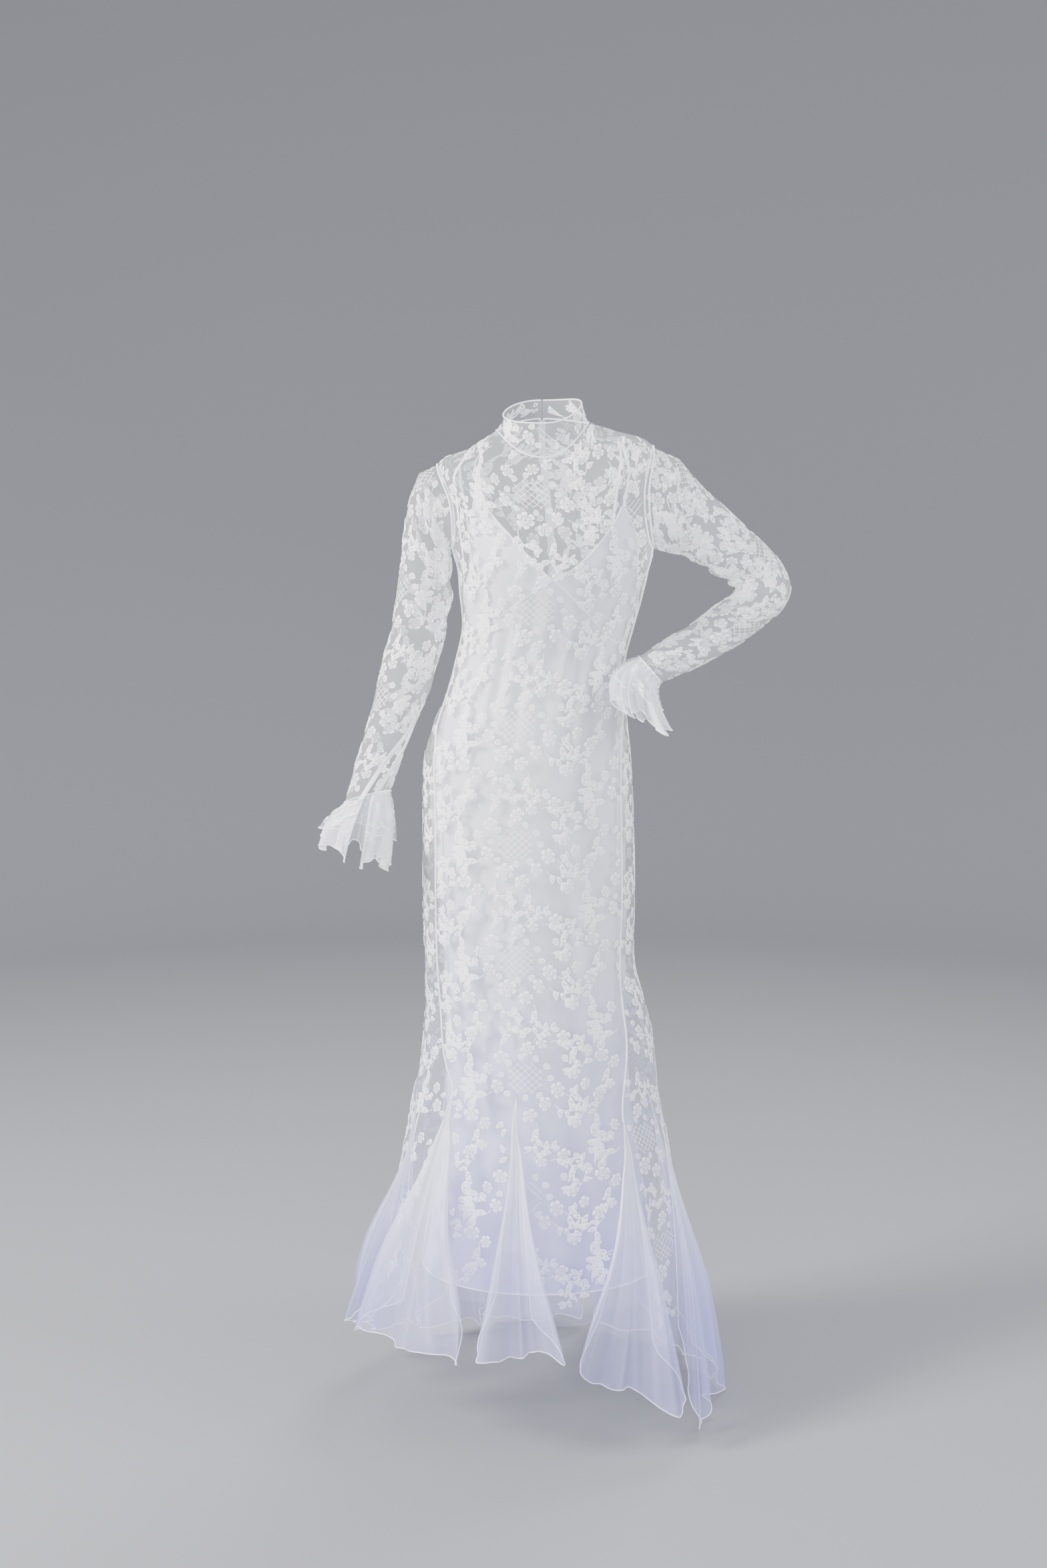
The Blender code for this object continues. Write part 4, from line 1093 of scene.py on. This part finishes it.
def satin_material():
    """Smooth satin with a faint twill and soft pressed ripples."""
    satin = Finish("satin", (0.93, 0.93, 0.95), 0.42, sheen=0.2, specular=0.4)
    satin.cool_below((0.68, 0.68, 0.73), (0.52, 0.52, 0.80))
    ripple = satin.noise({"Scale": RIPPLE_SCALE, "Detail": RIPPLE_DETAIL})
    twill = satin.threads(WEAVE_PITCH, 55, CLOSE_THREAD)
    satin.bump(satin.maths("MULTIPLY_ADD", twill, TWILL_SHARE, ripple), 0.25, 0.0020)
    return satin.material


def organza_material():
    """Sheer crisp organza, denser along its folds and towards its seams."""
    organza = Finish("organza", (0.90, 0.90, 0.99), 0.45, sheen=0.1, specular=0.35)
    organza.cool_below((0.93, 0.93, 0.99), (0.50, 0.50, 0.97), top=-1.00, bottom=-1.46)
    one, two = [organza.threads(WEAVE_PITCH, slant, OPEN_THREAD) for slant in (0, 90)]
    weave = organza.maths("ADD", one, two)
    alpha = organza.maths("MULTIPLY_ADD", weave, WEAVE_SHARE, organza.cover())
    organza.fill(organza.shader, {"Alpha": alpha})
    return organza.material


def thread_material():
    """Sewn edges, bindings and covered buttons."""
    binding = Finish("binding", (0.97, 0.97, 0.98), 0.55, sheen=0.2)
    binding.cool_below((0.98, 0.98, 0.985), (0.93, 0.93, 1.0))
    binding.bump(binding.noise({"Scale": FIBRE_SCALE}), 0.3, 0.0003)
    return binding.material


NET, STITCHING, SATIN, ORGANZA, BINDING = (
    net_material(), motif_material(), satin_material(), organza_material(), thread_material())
REPEAT = one_repeat()


# The lace body

YOKE_ROWS, ARM_ROWS, SKIRT_ROWS, TONGUE_STEPS = 8, 18, 72, 24
PANEL_COLUMNS = {"lace_front": 26, "lace_back_left": 10, "lace_back_right": 10}
# The chart of the body: its step and steps of angle, its rows and last level, and its reach
BODY_TURN, BODY_TURNS, BODY_ROWS, BODY_TO, BODY_REACH = 3, 42, 190, 1.455, 0.62
# The meridian each panel's motifs are laid from, and where their first repeat starts
PANEL_GRAIN = {
    "lace_front": (0, (-0.020, 0.070)),
    "lace_back_left": (110, (0.030, 0.020)),
    "lace_back_right": (-110, (0.010, 0.110)),
}


def panel_angles(names, i, t, down):
    """The angle at t across one gore of a panel, above the slits."""
    here, there = names[i], names[i + 1]
    start, end = axis(here, down), axis(there, down)
    if i == 0 and here.startswith("godet_side"):
        start += armhole_cut(down)
    if i + 2 == len(names) and there.startswith("godet_side"):
        end -= armhole_cut(down)
    return lerp(start, end, t)


def shell_levels():
    """Levels from the neck seam to the slits, close together round the armholes."""
    turns = [math.pi * k / ARM_ROWS for k in range(ARM_ROWS + 1)]
    arm = [lerp(TIP, UNDERARM, (1 - math.cos(turn)) / 2) for turn in turns]
    above = [lerp(FORM[0]["down"], TIP, k / YOKE_ROWS) for k in range(YOKE_ROWS)]
    below = [lerp(UNDERARM, LEVEL_OF_SLITS, k / SKIRT_ROWS) for k in range(1, SKIRT_ROWS + 1)]
    return above + arm + below


SHELL_LEVELS = shell_levels()


def gore_grid(names, i, columns):
    """One gore of a panel: rows down to the slits, then rows down its tongue to the hem."""
    here, there = names[i], names[i + 1]
    shares = [c / columns for c in range(columns + 1)]
    apexes = [lerp(godet_of(here)["level"], godet_of(there)["level"], t) for t in shares]
    grid = []
    for down in SHELL_LEVELS[:-1]:
        row = []
        for t, apex in zip(shares, apexes):
            low = down + (apex - LEVEL_OF_SLITS) * ease(1 - (LEVEL_OF_SLITS - down) / BEND_OVER)
            row.append(draped_lace(panel_angles(names, i, t, low), low))
        grid.append(row)
    for r in range(TONGUE_STEPS + 1):
        share = r / TONGUE_STEPS
        start, end = slit_edge(here, "to_edge", share), slit_edge(there, "from_edge", share)
        grid.append([draped_lace(lerp(start, end, t), lerp(apex, tongue_hem(here, t), share))
                     for t, apex in zip(shares, apexes)])
    return np.array(grid)


def panel_keeper(names):
    """A test of whether points lie on a panel, a little inside its edges."""
    levels = np.linspace(FORM[0]["down"], FORM[-1]["down"], KEEPER_STEPS["panel"])
    edges = []
    for i in range(len(names) - 1):
        here, there = names[i], names[i + 1]
        start, end = [], []
        ends = (("to_edge", here, start, 1), ("from_edge", there, end, -1))
        for down in levels:
            for side, name, rows, inward in ends:
                level = godet_of(name)["level"]
                if down < level:
                    rows.append(panel_angles(names, i, 0.0 if rows is start else 1.0, down))
                else:
                    share = (down - level) / (tongue_hem(here, 0.0) - level)
                    rows.append(slit_edge(name, side, min(1.0, share)) + inward * EDGE_MARGIN)
        edges.append((np.array(start), np.array(end), tongue_hem(here, 0.0)))

    def keep(angles, downs):
        inside = np.zeros(len(angles), bool)
        for start, end, hem in edges:
            low, high = np.interp(downs, levels, start), np.interp(downs, levels, end)
            inside |= (angles >= low) & (angles <= high) & (downs < hem - HEM_MARGIN)
        return inside & (downs > FORM[0]["down"] + NECK_MARGIN)

    return keep


def body_chart(meridian):
    angles = [meridian + BODY_TURN * k for k in range(-BODY_TURNS, BODY_TURNS + 1)]
    levels = [lerp(FORM[0]["down"], BODY_TO, k / BODY_ROWS) for k in range(BODY_ROWS + 1)]
    return Chart(draped_lace, angles, levels, meridian, BODY_REACH)


def lace_body():
    for name, line in PANELS.items():
        names = line.split()
        grids = [gore_grid(names, i, PANEL_COLUMNS[name]) for i in range(len(names) - 1)]
        panel = shell(f"{name}_net", grids, NET)
        meridian, start = PANEL_GRAIN[name]
        stitched = embroider(f"{name}_motifs", body_chart(meridian), panel_keeper(names), start)
        wear(panel, name)


# The sleeves and cuffs

def sleeve_grid(side, columns, rows):
    rings = len(SLEEVES[side])
    way = 1 if side == "right" else -1

    def point(u, v):
        at = v * rings
        seam, half = 180.0, 0.0
        if side == "right":
            seam, half = value(SEAM_TURN, at, "turn", "ring"), slit_half(at)
        return draped_sleeve(side, way * lerp(seam + half, seam + 360 - half, u), at)

    return grid_of(point, columns, rows)


SLEEVE_CREASES = {
    "left": table("turn at width depth", [
        (170, 4.2, 45, 0.0040), (185, 4.9, 40, -0.0030), (175, 5.6, 45, 0.0048), (180, 6.4, 45, -0.0030),
        (170, 7.2, 50, 0.0046), (180, 8.0, 45, 0.0030), (90, 1.3, 50, 0.0030), (100, 2.2, 45, -0.0020),
        (200, 3.1, 40, 0.0030), (270, 6.2, 50, 0.0026), (60, 9.3, 40, 0.0020), (160, 10.4, 50, 0.0024),
    ]),
    "right": table("turn at width depth", [
        (150, 0.8, 45, 0.0034), (170, 1.7, 40, -0.0024), (120, 2.5, 50, 0.0030), (60, 3.3, 45, 0.0022),
        (160, 4.2, 45, 0.0040), (140, 4.9, 40, -0.0024), (170, 5.6, 50, 0.0036), (60, 6.4, 45, 0.0022),
        (150, 7.3, 45, 0.0028), (240, 4.6, 50, 0.0026), (40, 8.3, 40, 0.0018), (120, 9.2, 45, 0.0022),
    ]),
}
SLEEVE_CREASE_LONG, SLEEVE_CREASE_SLANT = 0.34, 0.25
SLEEVE_TURN, SLEEVE_ROWS, SLEEVE_REACH = 6, 110, 0.30


def draped_sleeve(side, turn, at):
    """A point of a sleeve, with slanted creases set in from its form."""
    here = sleeve_point(side, turn, at)
    depth = 0.0
    for row in SLEEVE_CREASES[side]:
        apart = (abs(turn) - row["turn"] + 180) % 360 - 180
        slant = at - row["at"] - SLEEVE_CREASE_SLANT * apart / row["width"]
        far = (apart / row["width"]) ** 2
        depth += row["depth"] * math.exp(-far - (slant / SLEEVE_CREASE_LONG) ** 2)
    centre = (here + sleeve_point(side, turn + 180, at)) / 2
    return here + (centre - here).normalized() * depth


def sleeve_chart(side):
    rings = len(SLEEVES[side])
    way = 1 if side == "right" else -1
    turns = [180 + SLEEVE_TURN * k for k in range(360 // SLEEVE_TURN + 1)]
    ats = [rings * k / SLEEVE_ROWS for k in range(SLEEVE_ROWS + 1)]
    return Chart(lambda turn, at: draped_sleeve(side, way * turn, at), turns, ats, 360, SLEEVE_REACH)


def sleeve_keeper(side):
    """A test of whether points lie on a sleeve, a little inside its seams and its slit."""
    rings = len(SLEEVES[side])
    ats = np.linspace(0, rings, KEEPER_STEPS["sleeve"])
    seams = np.array([value(SEAM_TURN, at, "turn", "ring") if side == "right" else 180.0 for at in ats])
    halves = np.array([slit_half(at) if side == "right" else 0.0 for at in ats])

    def keep(turns, levels):
        seam, half = np.interp(levels, ats, seams), np.interp(levels, ats, halves)
        apart = (turns - seam + 180) % 360 - 180
        clear = (np.abs(apart) > half + SLIT_MARGIN) | (half == 0)
        return clear & (levels > RING_MARGIN["armhole"]) & (levels < rings - RING_MARGIN["wrist"])

    return keep


SLEEVE_GRAIN = {"right": (0.020, 0.030), "left": (-0.030, 0.060)}


def sleeves():
    for side in ("right", "left"):
        panel = shell(f"sleeve_{side}_net", [sleeve_grid(side, *GRIDS["sleeve"])], NET)
        stitched = embroider(f"sleeve_{side}_motifs", sleeve_chart(side), sleeve_keeper(side),
                             SLEEVE_GRAIN[side])
        wear(panel, f"sleeve_{side}")


LACE_CUFF_LONG = 0.64
GATHER_DEEP = 0.0012
FRILLS = {"lace": 10, "organza": 14}
FRILL_DEEP = {"lace": 0.0060, "organza": 0.0090}
FRILL_SHIFT = {"right": 1.3, "left": 2.9}
FINE_FRILL_SHARE, FINE_FRILL_SHIFT = 0.4, 0.7
HEM_UNEVEN, HEM_WAVES = 0.10, 5
CUFF_TURN, CUFF_ROWS, CUFF_REACH, CUFF_GRAIN = 3, 20, 0.22, (0.01, 0.03)
CUFF_LINE_STEPS = {"hem": 150, "seam": 80}
# How dense the organza is at the seam and at the hem, and the rays in it
CUFF_COVER, CUFF_RAY = (0.62, 0.42), 0.07


def ruffle_point(side, layer, turn_share, t):
    """A point of a cuff's layer, at a share round it and t down it."""
    seam_ring, hem_ring = SLEEVES[side][-1], RUFFLES[side]
    opening = RUFFLE_OPENING[side]
    start = value(SEAM_TURN, len(SLEEVES["right"]), "turn", "ring") if side == "right" else 180.0
    way = 1 if side == "right" else -1
    seam_mid, hem_mid = ring_middle(seam_ring), ring_middle(hem_ring)
    t *= 1 + HEM_UNEVEN * t * math.sin(2 * math.pi * HEM_WAVES * turn_share + FRILL_SHIFT[side])
    ahead = (seam_mid - ring_middle(SLEEVES[side][-2])).normalized()
    bend = seam_mid + ahead * (hem_mid - seam_mid).length * RUFFLE_BEND
    turn = way * lerp(start + opening / 2, start + 360 - opening / 2, turn_share)
    spread = (ring_point(seam_ring, side, turn) - seam_mid).lerp(
        ring_point(hem_ring, side, turn) - hem_mid, t)
    middle = seam_mid.lerp(bend, t).lerp(bend.lerp(hem_mid, t), t)
    wave = RUFFLE_OUT * ease(t) * math.cos(2 * math.pi * RUFFLE_WAVES * turn_share)
    spin = 2 * math.pi * turn_share
    gather = GATHER_DEEP * max(0.0, 1 - t) ** 0.5 * math.sin(spin * 3 * RUFFLE_WAVES)
    frill = FRILL_DEEP[layer] * t * math.sin(spin * FRILLS[layer] + FRILL_SHIFT[side])
    fine = math.sin(spin * 3 * FRILLS[layer] / 2 + FINE_FRILL_SHIFT)
    frill += FINE_FRILL_SHARE * FRILL_DEEP[layer] * t * t * fine
    bell = BELL[side] * math.sin(math.pi * t)
    out = RUFFLE_INSET[layer] * (1 + t) + wave + gather + frill + bell
    return middle + ahead * CUFF_GAP + spread + spread.normalized() * out


def cuff_line(side, t, place):
    """A line round a lace cuff, t down it."""
    steps = CUFF_LINE_STEPS[place]
    return [ruffle_point(side, "lace", k / steps, t) for k in range(steps + 1)]


def cuffs():
    for side in ("right", "left"):
        lace = shell(f"cuff_lace_{side}_net", [grid_of(
            lambda u, v: ruffle_point(side, "lace", u, v * LACE_CUFF_LONG), *GRIDS["cuff_lace"])], NET)
        turns = [CUFF_TURN * k for k in range(360 // CUFF_TURN + 1)]
        levels = [LACE_CUFF_LONG * k / CUFF_ROWS for k in range(CUFF_ROWS + 1)]
        chart = Chart(lambda turn, t: ruffle_point(side, "lace", turn / 360, t), turns, levels,
                      180, CUFF_REACH)
        stitched = embroider(f"cuff_lace_{side}_motifs", chart, lambda turns, levels: turns > -1,
                             CUFF_GRAIN)
        wear(lace, f"cuff_lace_{side}")
        columns, rows = GRIDS["cuff_organza"]
        grid = grid_of(lambda u, v: ruffle_point(side, "organza", u, v), columns, rows)
        frills = 2 * math.pi * 3 * FRILLS["organza"] / 2
        rays = CUFF_RAY * np.sin(np.linspace(0, frills, columns + 1) + FINE_FRILL_SHIFT)
        covers = np.linspace(*CUFF_COVER, rows + 1)[:, None] + rays[None, :]
        organza = shell(f"cuff_organza_{side}_sheet", [grid], ORGANZA, [covers])
        hem = trim(f"cuff_organza_{side}_hem", [grid[-1]], CORDS["organza_hem"])
        edge, seam = cuff_line(side, LACE_CUFF_LONG, "hem"), cuff_line(side, 0.0, "seam")
        trim(f"cuff_lace_{side}_hem", [edge], CORDS["lace_hem"])
        trim(f"cuff_{side}_seam", [seam], CORDS["cuff_seam"])
        wear(organza, f"cuff_organza_{side}")


# The collar

COLLAR_TURN, COLLAR_TURNS, COLLAR_REACH, COLLAR_GRAIN = 3, 59, 0.24, (0.02, 0.01)


def collar_point(angle, t):
    """A point of the collar, from its seam at t = 0 to its top."""
    low = lace_form(angle, FORM[0]["down"]) + Vector((0.0, 0.0, COLLAR_LIFT))
    high = section(COLLAR_TOP, angle, 0.0, NO_LIFT, COLLAR_Z["front"])
    turn, climb = math.radians(angle), COLLAR_Z["back"] - COLLAR_Z["front"]
    side = COLLAR_Z["left" if angle > 0 else "right"] - COLLAR_Z["front"]
    high.z += climb * (1 - math.cos(turn)) / 2 + (side - climb / 2) * math.sin(turn) ** 2
    inward = Vector((-low.x, -low.y, 0.0)).normalized() * COLLAR_WAIST
    slouch = COLLAR_SLOUCH * math.sin(math.radians(3 * angle + 40)) * math.sin(math.pi * t)
    return low.lerp(high, t) + inward * (math.sin(math.pi * t) + slouch / COLLAR_WAIST)


def collar_piece():
    columns, rows = GRIDS["collar"]
    band = shell("collar_net", [grid_of(
        lambda u, v: collar_point(lerp(-COLLAR_END, COLLAR_END, u), 1 - v), columns, rows)], NET)
    angles = [COLLAR_TURN * k for k in range(-COLLAR_TURNS, COLLAR_TURNS + 1)]
    levels = [k / rows for k in range(rows + 1)]
    chart = Chart(lambda a, v: collar_point(a, 1 - v), angles, levels, 0, COLLAR_REACH)
    stitched = embroider("collar_motifs", chart,
                         lambda a, v: (v > COLLAR_MARGIN) & (v < 1 - COLLAR_MARGIN), COLLAR_GRAIN)
    edges = [[collar_point(a, t) for a in range(-179, 180, 2)] for t in (1.0, 0.0)]
    band_edges = trim("collar_edges", edges, CORDS["collar"])
    wear(band, "collar")


# The godets

GODET_STEPS, GODET_ACROSS = 40, 110
FLUTES = table("times phase deep", [
    (5, 0.3, 0.0075),
    (9, 1.9, 0.0038),
    (16, 4.0, 0.0014),
])
RAYS = table("at width cover", [
    (0.06, 0.010, 0.16), (0.13, 0.012, 0.14), (0.19, 0.008, 0.20), (0.25, 0.030, 0.26), (0.33, 0.010, 0.14),
    (0.41, 0.014, 0.12), (0.48, 0.008, 0.20), (0.55, 0.012, 0.14), (0.62, 0.008, 0.18), (0.69, 0.012, 0.12),
    (0.76, 0.030, 0.26), (0.84, 0.010, 0.16), (0.91, 0.012, 0.14), (0.96, 0.008, 0.18),
])
RAY_SWAY, RAY_BENDS, RAY_PHASE, RAY_FADE = 0.012, 4, 2.3, 0.35
COVER_LOW, COVER_AT_APEX, COVER_FALL = 0.27, 0.30, 1.5
HEM_SWAY, HEM_SWAYS, APEX_SHARE, FLUTE_IN = 0.006, 3.5, 0.004, -0.002


def godet_piece(name):
    """The points of a godet, and how dense its organza is at each."""
    godet = GODETS[name]
    i = list(GODETS).index(name)
    middle = (godet["from_fold"] + godet["to_fold"]) / 2
    valley = VALLEY * (godet["from_out"] + godet["to_out"]) / 2
    folds = [
        (godet["from_edge"], 0.0), (godet["from_fold"], godet["from_out"]), (middle, valley),
        (godet["to_fold"], godet["to_out"]), (godet["to_edge"], 0.0)]
    from_hem = GODETS[list(GODETS)[i - 1]]["tongue"] - TONGUE_CORNER
    to_hem = godet["tongue"] - TONGUE_CORNER
    hem = [(from_hem, 0), (godet["from_hem"], 0), ((godet["from_hem"] + godet["to_hem"]) / 2, 0),
           (godet["to_hem"], 0), (to_hem, 0)]
    start = axis(name, godet["level"])

    def flute(t, share):
        held = math.sin(math.pi * t) ** 0.5
        return held * share * sum(
            row["deep"] * math.sin(2 * math.pi * row["times"] * t + row["phase"] + i) for row in FLUTES)

    def point(t, v):
        share = max(v, APEX_SHARE)
        turn, out = along(folds, t)
        open_out = share * ease(share / FOLDS_OPEN_BY)
        flat = lerp(slit_edge(name, "from_edge", share), slit_edge(name, "to_edge", share), t)
        angle = lerp(flat, lerp(start, turn, share), ease(share / FOLDS_SPREAD_BY))
        level = lerp(godet["level"], along(hem, t)[0], share)
        level += (HEM_SWAY * share ** 3 * math.sin(math.pi * t)
                  * math.sin(2 * math.pi * HEM_SWAYS * t + i))
        out = max(0.0, out) * open_out + flute(t, share)
        return lace_out(angle, level, GODET_LAP + max(FLUTE_IN, out), level=True)

    grid = grid_of(point, GODET_ACROSS, GODET_STEPS)
    covers = np.zeros(grid.shape[:2])
    for c in range(GODET_ACROSS + 1):
        t = c / GODET_ACROSS
        for r in range(GODET_STEPS + 1):
            share = r / GODET_STEPS
            rays = 0.0
            for k, ray in enumerate(RAYS):
                at = ray["at"] + RAY_SWAY * math.sin(RAY_BENDS * share + RAY_PHASE * k + i)
                rays += ray["cover"] * math.exp(-(((t - at) / ray["width"]) ** 2))
            rays *= 1 - RAY_FADE * share
            covers[r, c] = COVER_LOW + COVER_AT_APEX * (1 - share) ** COVER_FALL + rays
    return grid, covers


def godets():
    for name in GODETS:
        grid, covers = godet_piece(name)
        piece = shell(f"{name}_sheet", [grid], ORGANZA, [covers])
        hem = trim(f"{name}_hem", [grid[-1], grid[:, 0], grid[:, -1]], CORDS["godet"])
        wear(piece, name)


# The slip

def slip_pieces():
    def front(u, v):
        angle = lerp(-SLIP_SIDE, SLIP_SIDE, u)
        return draped_slip(angle, lerp(under_bust(angle), SLIP_HEM, v ** SLIP_ROW_GROWTH))

    def back(u, v):
        angle = lerp(SLIP_SIDE, 360 - SLIP_SIDE, u)
        return draped_slip(angle, lerp(back_top(angle), SLIP_HEM, v ** SLIP_ROW_GROWTH))

    front_grid, back_grid = grid_of(front, *GRIDS["slip_front"]), grid_of(back, *GRIDS["slip_back"])
    front_piece = shell("slip_front_sheet", [front_grid], SATIN)
    back_piece = shell("slip_back_sheet", [back_grid], SATIN)
    edges = [front_grid[:, 0], front_grid[:, -1], front_grid[0], back_grid[0],
             front_grid[-1], back_grid[-1]]
    trim("slip_seams", edges, CORDS["slip"])
    wear(front_piece, "slip_front")
    wear(back_piece, "slip_back")


def cup_point(side, u, v):
    """A point of a cup: u from its neckline to its outer edge, v from its foot to its tip."""
    way = 1 if side == "left" else -1
    numbered = [dict(row, number=i / (len(CUP) - 1)) for i, row in enumerate(CUP)]
    foot = UNDER_BUST + UNDER_BUST_DROP[side]
    inner, outer, inner_z, outer_z = [
        value(numbered, v, name, "number") for name in ("inner", "outer", "inner_down", "outer_down")]
    angle = lerp(inner, outer, u) - CUP_APEX_TURN[side] * v
    outer_z += (foot - CUP[0]["outer_down"]) * (1 - ease(v * CUP_SETTLES))
    depth = lerp(inner_z, outer_z, u) - CUP_APEX_RISE[side] * v * v
    depth += (under_bust(way * angle) - lerp(UNDER_BUST, foot, u)) * (1 - v) ** 2
    return draped_slip(way * angle, lace_down(way * angle, depth))


def cups():
    for side in ("right", "left"):
        grid = grid_of(lambda u, v: cup_point(side, u, v), *GRIDS["cup"])
        piece = shell(f"slip_cup_{side}_sheet", [grid], SATIN)
        edge = trim(f"slip_cup_{side}_edges", [grid[:, 0], grid[:, -1]], CORDS["cup"])
        wear(piece, f"slip_cup_{side}")
    for node in ("slip_strap_left", "slip_strap_right", "slip_loop_right", "sleeve_placket_right"):
        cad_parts[node].material_slots[0].material = BINDING


# Seams and the closure

def seams():
    """The sewn bands at the armholes and down the side seams."""
    lines = []
    for side in ("right", "left"):
        turns = [360 / ARMHOLE_POINTS * k for k in range(ARMHOLE_POINTS + 1)]
        ring = [lace_out(*armhole_edge(side, turn), SEAM_LIFT) for turn in turns]
        seam = []
        for k in range(SEAM_POINTS):
            level = lerp(UNDERARM, GODETS[f"godet_side_{side}"]["level"], k / (SEAM_POINTS - 1))
            seam.append(draped_lace(value(SEAMS, level, side), level))
        lines.extend([ring, seam])
    trim("body_seams", lines, CORDS["body"])


def dome_points():
    """A covered button's dome round the origin, as rings of points from its rim to its top."""
    points = []
    for ring in range(DOME_RINGS + 1):
        rise = math.pi / 2 * ring / DOME_RINGS
        for spoke in range(DOME_SPOKES):
            spin = 2 * math.pi * spoke / DOME_SPOKES
            points.append(Vector((math.cos(spin) * math.cos(rise) * BUTTON_RADIUS,
                                  math.sin(spin) * math.cos(rise) * BUTTON_RADIUS,
                                  math.sin(rise) * DOME_HIGH)))
    return points


def closure():
    """The strip down the centre back with its covered buttons and loops."""
    def strip(u, v):
        down = lerp(FORM[0]["down"] + NECK_MARGIN, STRIP_TO, v)
        return lace_out(180 + (u - 0.5) * 2 * turn_for(180.0, down, STRIP_HALF), down, STRIP_LIFT)

    piece = shell("back_strip", [grid_of(strip, *GRIDS["strip"])], SATIN)
    dome = dome_points()
    bends = [s / LOOP_STEPS * math.pi for s in range(LOOP_STEPS + 1)]
    loop = [Vector((LOOP_WIDE * math.sin(bend) + LOOP_ASIDE, LOOP_TALL * math.cos(bend), LOOP_LIFT))
            for bend in bends]
    points, faces, loops = [], [], []
    for k in range(BUTTONS):
        down = lerp(BUTTONS_FROM, BUTTONS_TO, k / (BUTTONS - 1))
        seat = lace_out(180.0, down, DOME_LIFT)
        facing = normal_of(lace_form, 180.0, down).to_track_quat("Z", "Y")
        faces.extend(ring_faces(len(points), DOME_RINGS + 1, DOME_SPOKES))
        points.extend(seat + facing @ point for point in dome)
        loops.append([seat + facing @ point for point in loop])
    buttons = mesh_object("back_button_domes", points, faces, BINDING)
    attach(buttons, "root")
    trim("back_button_loops", loops, CORDS["loop"])
    wear(piece, "back_buttons")


# The studio

FLOOR, GOWN_MIDDLE = -1.513, -0.75
WALL_AT, WALL_CURVE, WALL_HIGH, WALL_SPOKES, WALL_STEPS = 5.6, 1.6, 7.0, 72, 16
SKY, SKY_STRENGTH = (0.90, 0.92, 1.0, 1.0), 0.85
LIGHTS = table("x y z size power red green blue", [
    (-2.9, -1.3, 1.1, 0.9, 340, 1.0, 0.995, 0.985),
    (2.6, -1.0, 0.5, 1.2, 80, 0.95, 0.97, 1.0),
    (0.9, 1.6, 1.9, 1.2, 90, 0.95, 0.97, 1.0),
    (-0.4, -3.0, -0.7, 1.4, 60, 0.96, 0.96, 1.0),
])
LENS, SENSOR, CAMERA_AT, CAMERA_TILT = 39.8, 36.0, (-0.029, -2.70, -0.253), 84.3


def backdrop():
    """A round studio whose floor curves up into its wall, so that it can be seen from every side."""
    profile = [(WALL_AT - WALL_CURVE + WALL_CURVE * math.sin(a), WALL_CURVE * (1 - math.cos(a)))
               for a in np.linspace(0, math.pi / 2, WALL_STEPS)] + [(WALL_AT, WALL_HIGH)]
    spins = [2 * math.pi * k / WALL_SPOKES for k in range(WALL_SPOKES)]
    points = [(out * math.cos(spin), out * math.sin(spin), FLOOR + high)
              for out, high in profile for spin in spins]
    faces = [tuple(range(WALL_SPOKES))]
    faces += [(a, d, c, b) for a, b, c, d in ring_faces(0, len(profile), WALL_SPOKES)]
    floor = bpy.data.meshes.new("floor")
    floor.from_pydata(points, [], faces)
    floor.shade_smooth()
    floor.materials.append(Finish("studio", (0.25, 0.25, 0.266), 0.9, specular=0.1).material)
    wall = placed("backdrop", floor)
    wall.visible_diffuse = False


def studio():
    """The backdrop, an even sky and four soft lights, the strongest from the front right."""
    backdrop()
    world = bpy.data.worlds.new("studio_light")
    world.use_nodes = True
    sky = world.node_tree.nodes["Background"]
    sky.inputs["Color"].default_value = SKY
    sky.inputs["Strength"].default_value = SKY_STRENGTH
    bpy.context.scene.world = world
    for k, row in enumerate(LIGHTS):
        light = bpy.data.lights.new(f"softbox_{k}", "AREA")
        light.size = row["size"]
        light.energy = row["power"]
        light.color = (row["red"], row["green"], row["blue"])
        lamp = placed(f"softbox_{k}", light)
        lamp.location = (row["x"], row["y"], row["z"])
        aim = Vector((0.0, 0.0, GOWN_MIDDLE)) - lamp.location
        lamp.rotation_euler = aim.to_track_quat("-Z", "Y").to_euler()


def camera():
    lens = bpy.data.cameras.new("camera")
    lens.lens = LENS
    lens.sensor_width = SENSOR
    view = placed("camera", lens)
    view.location = CAMERA_AT
    view.rotation_euler = (math.radians(CAMERA_TILT), 0.0, 0.0)
    bpy.context.scene.camera = view


camera()
studio()
lace_body()
sleeves()
cuffs()
collar_piece()
godets()
slip_pieces()
cups()
seams()
closure()
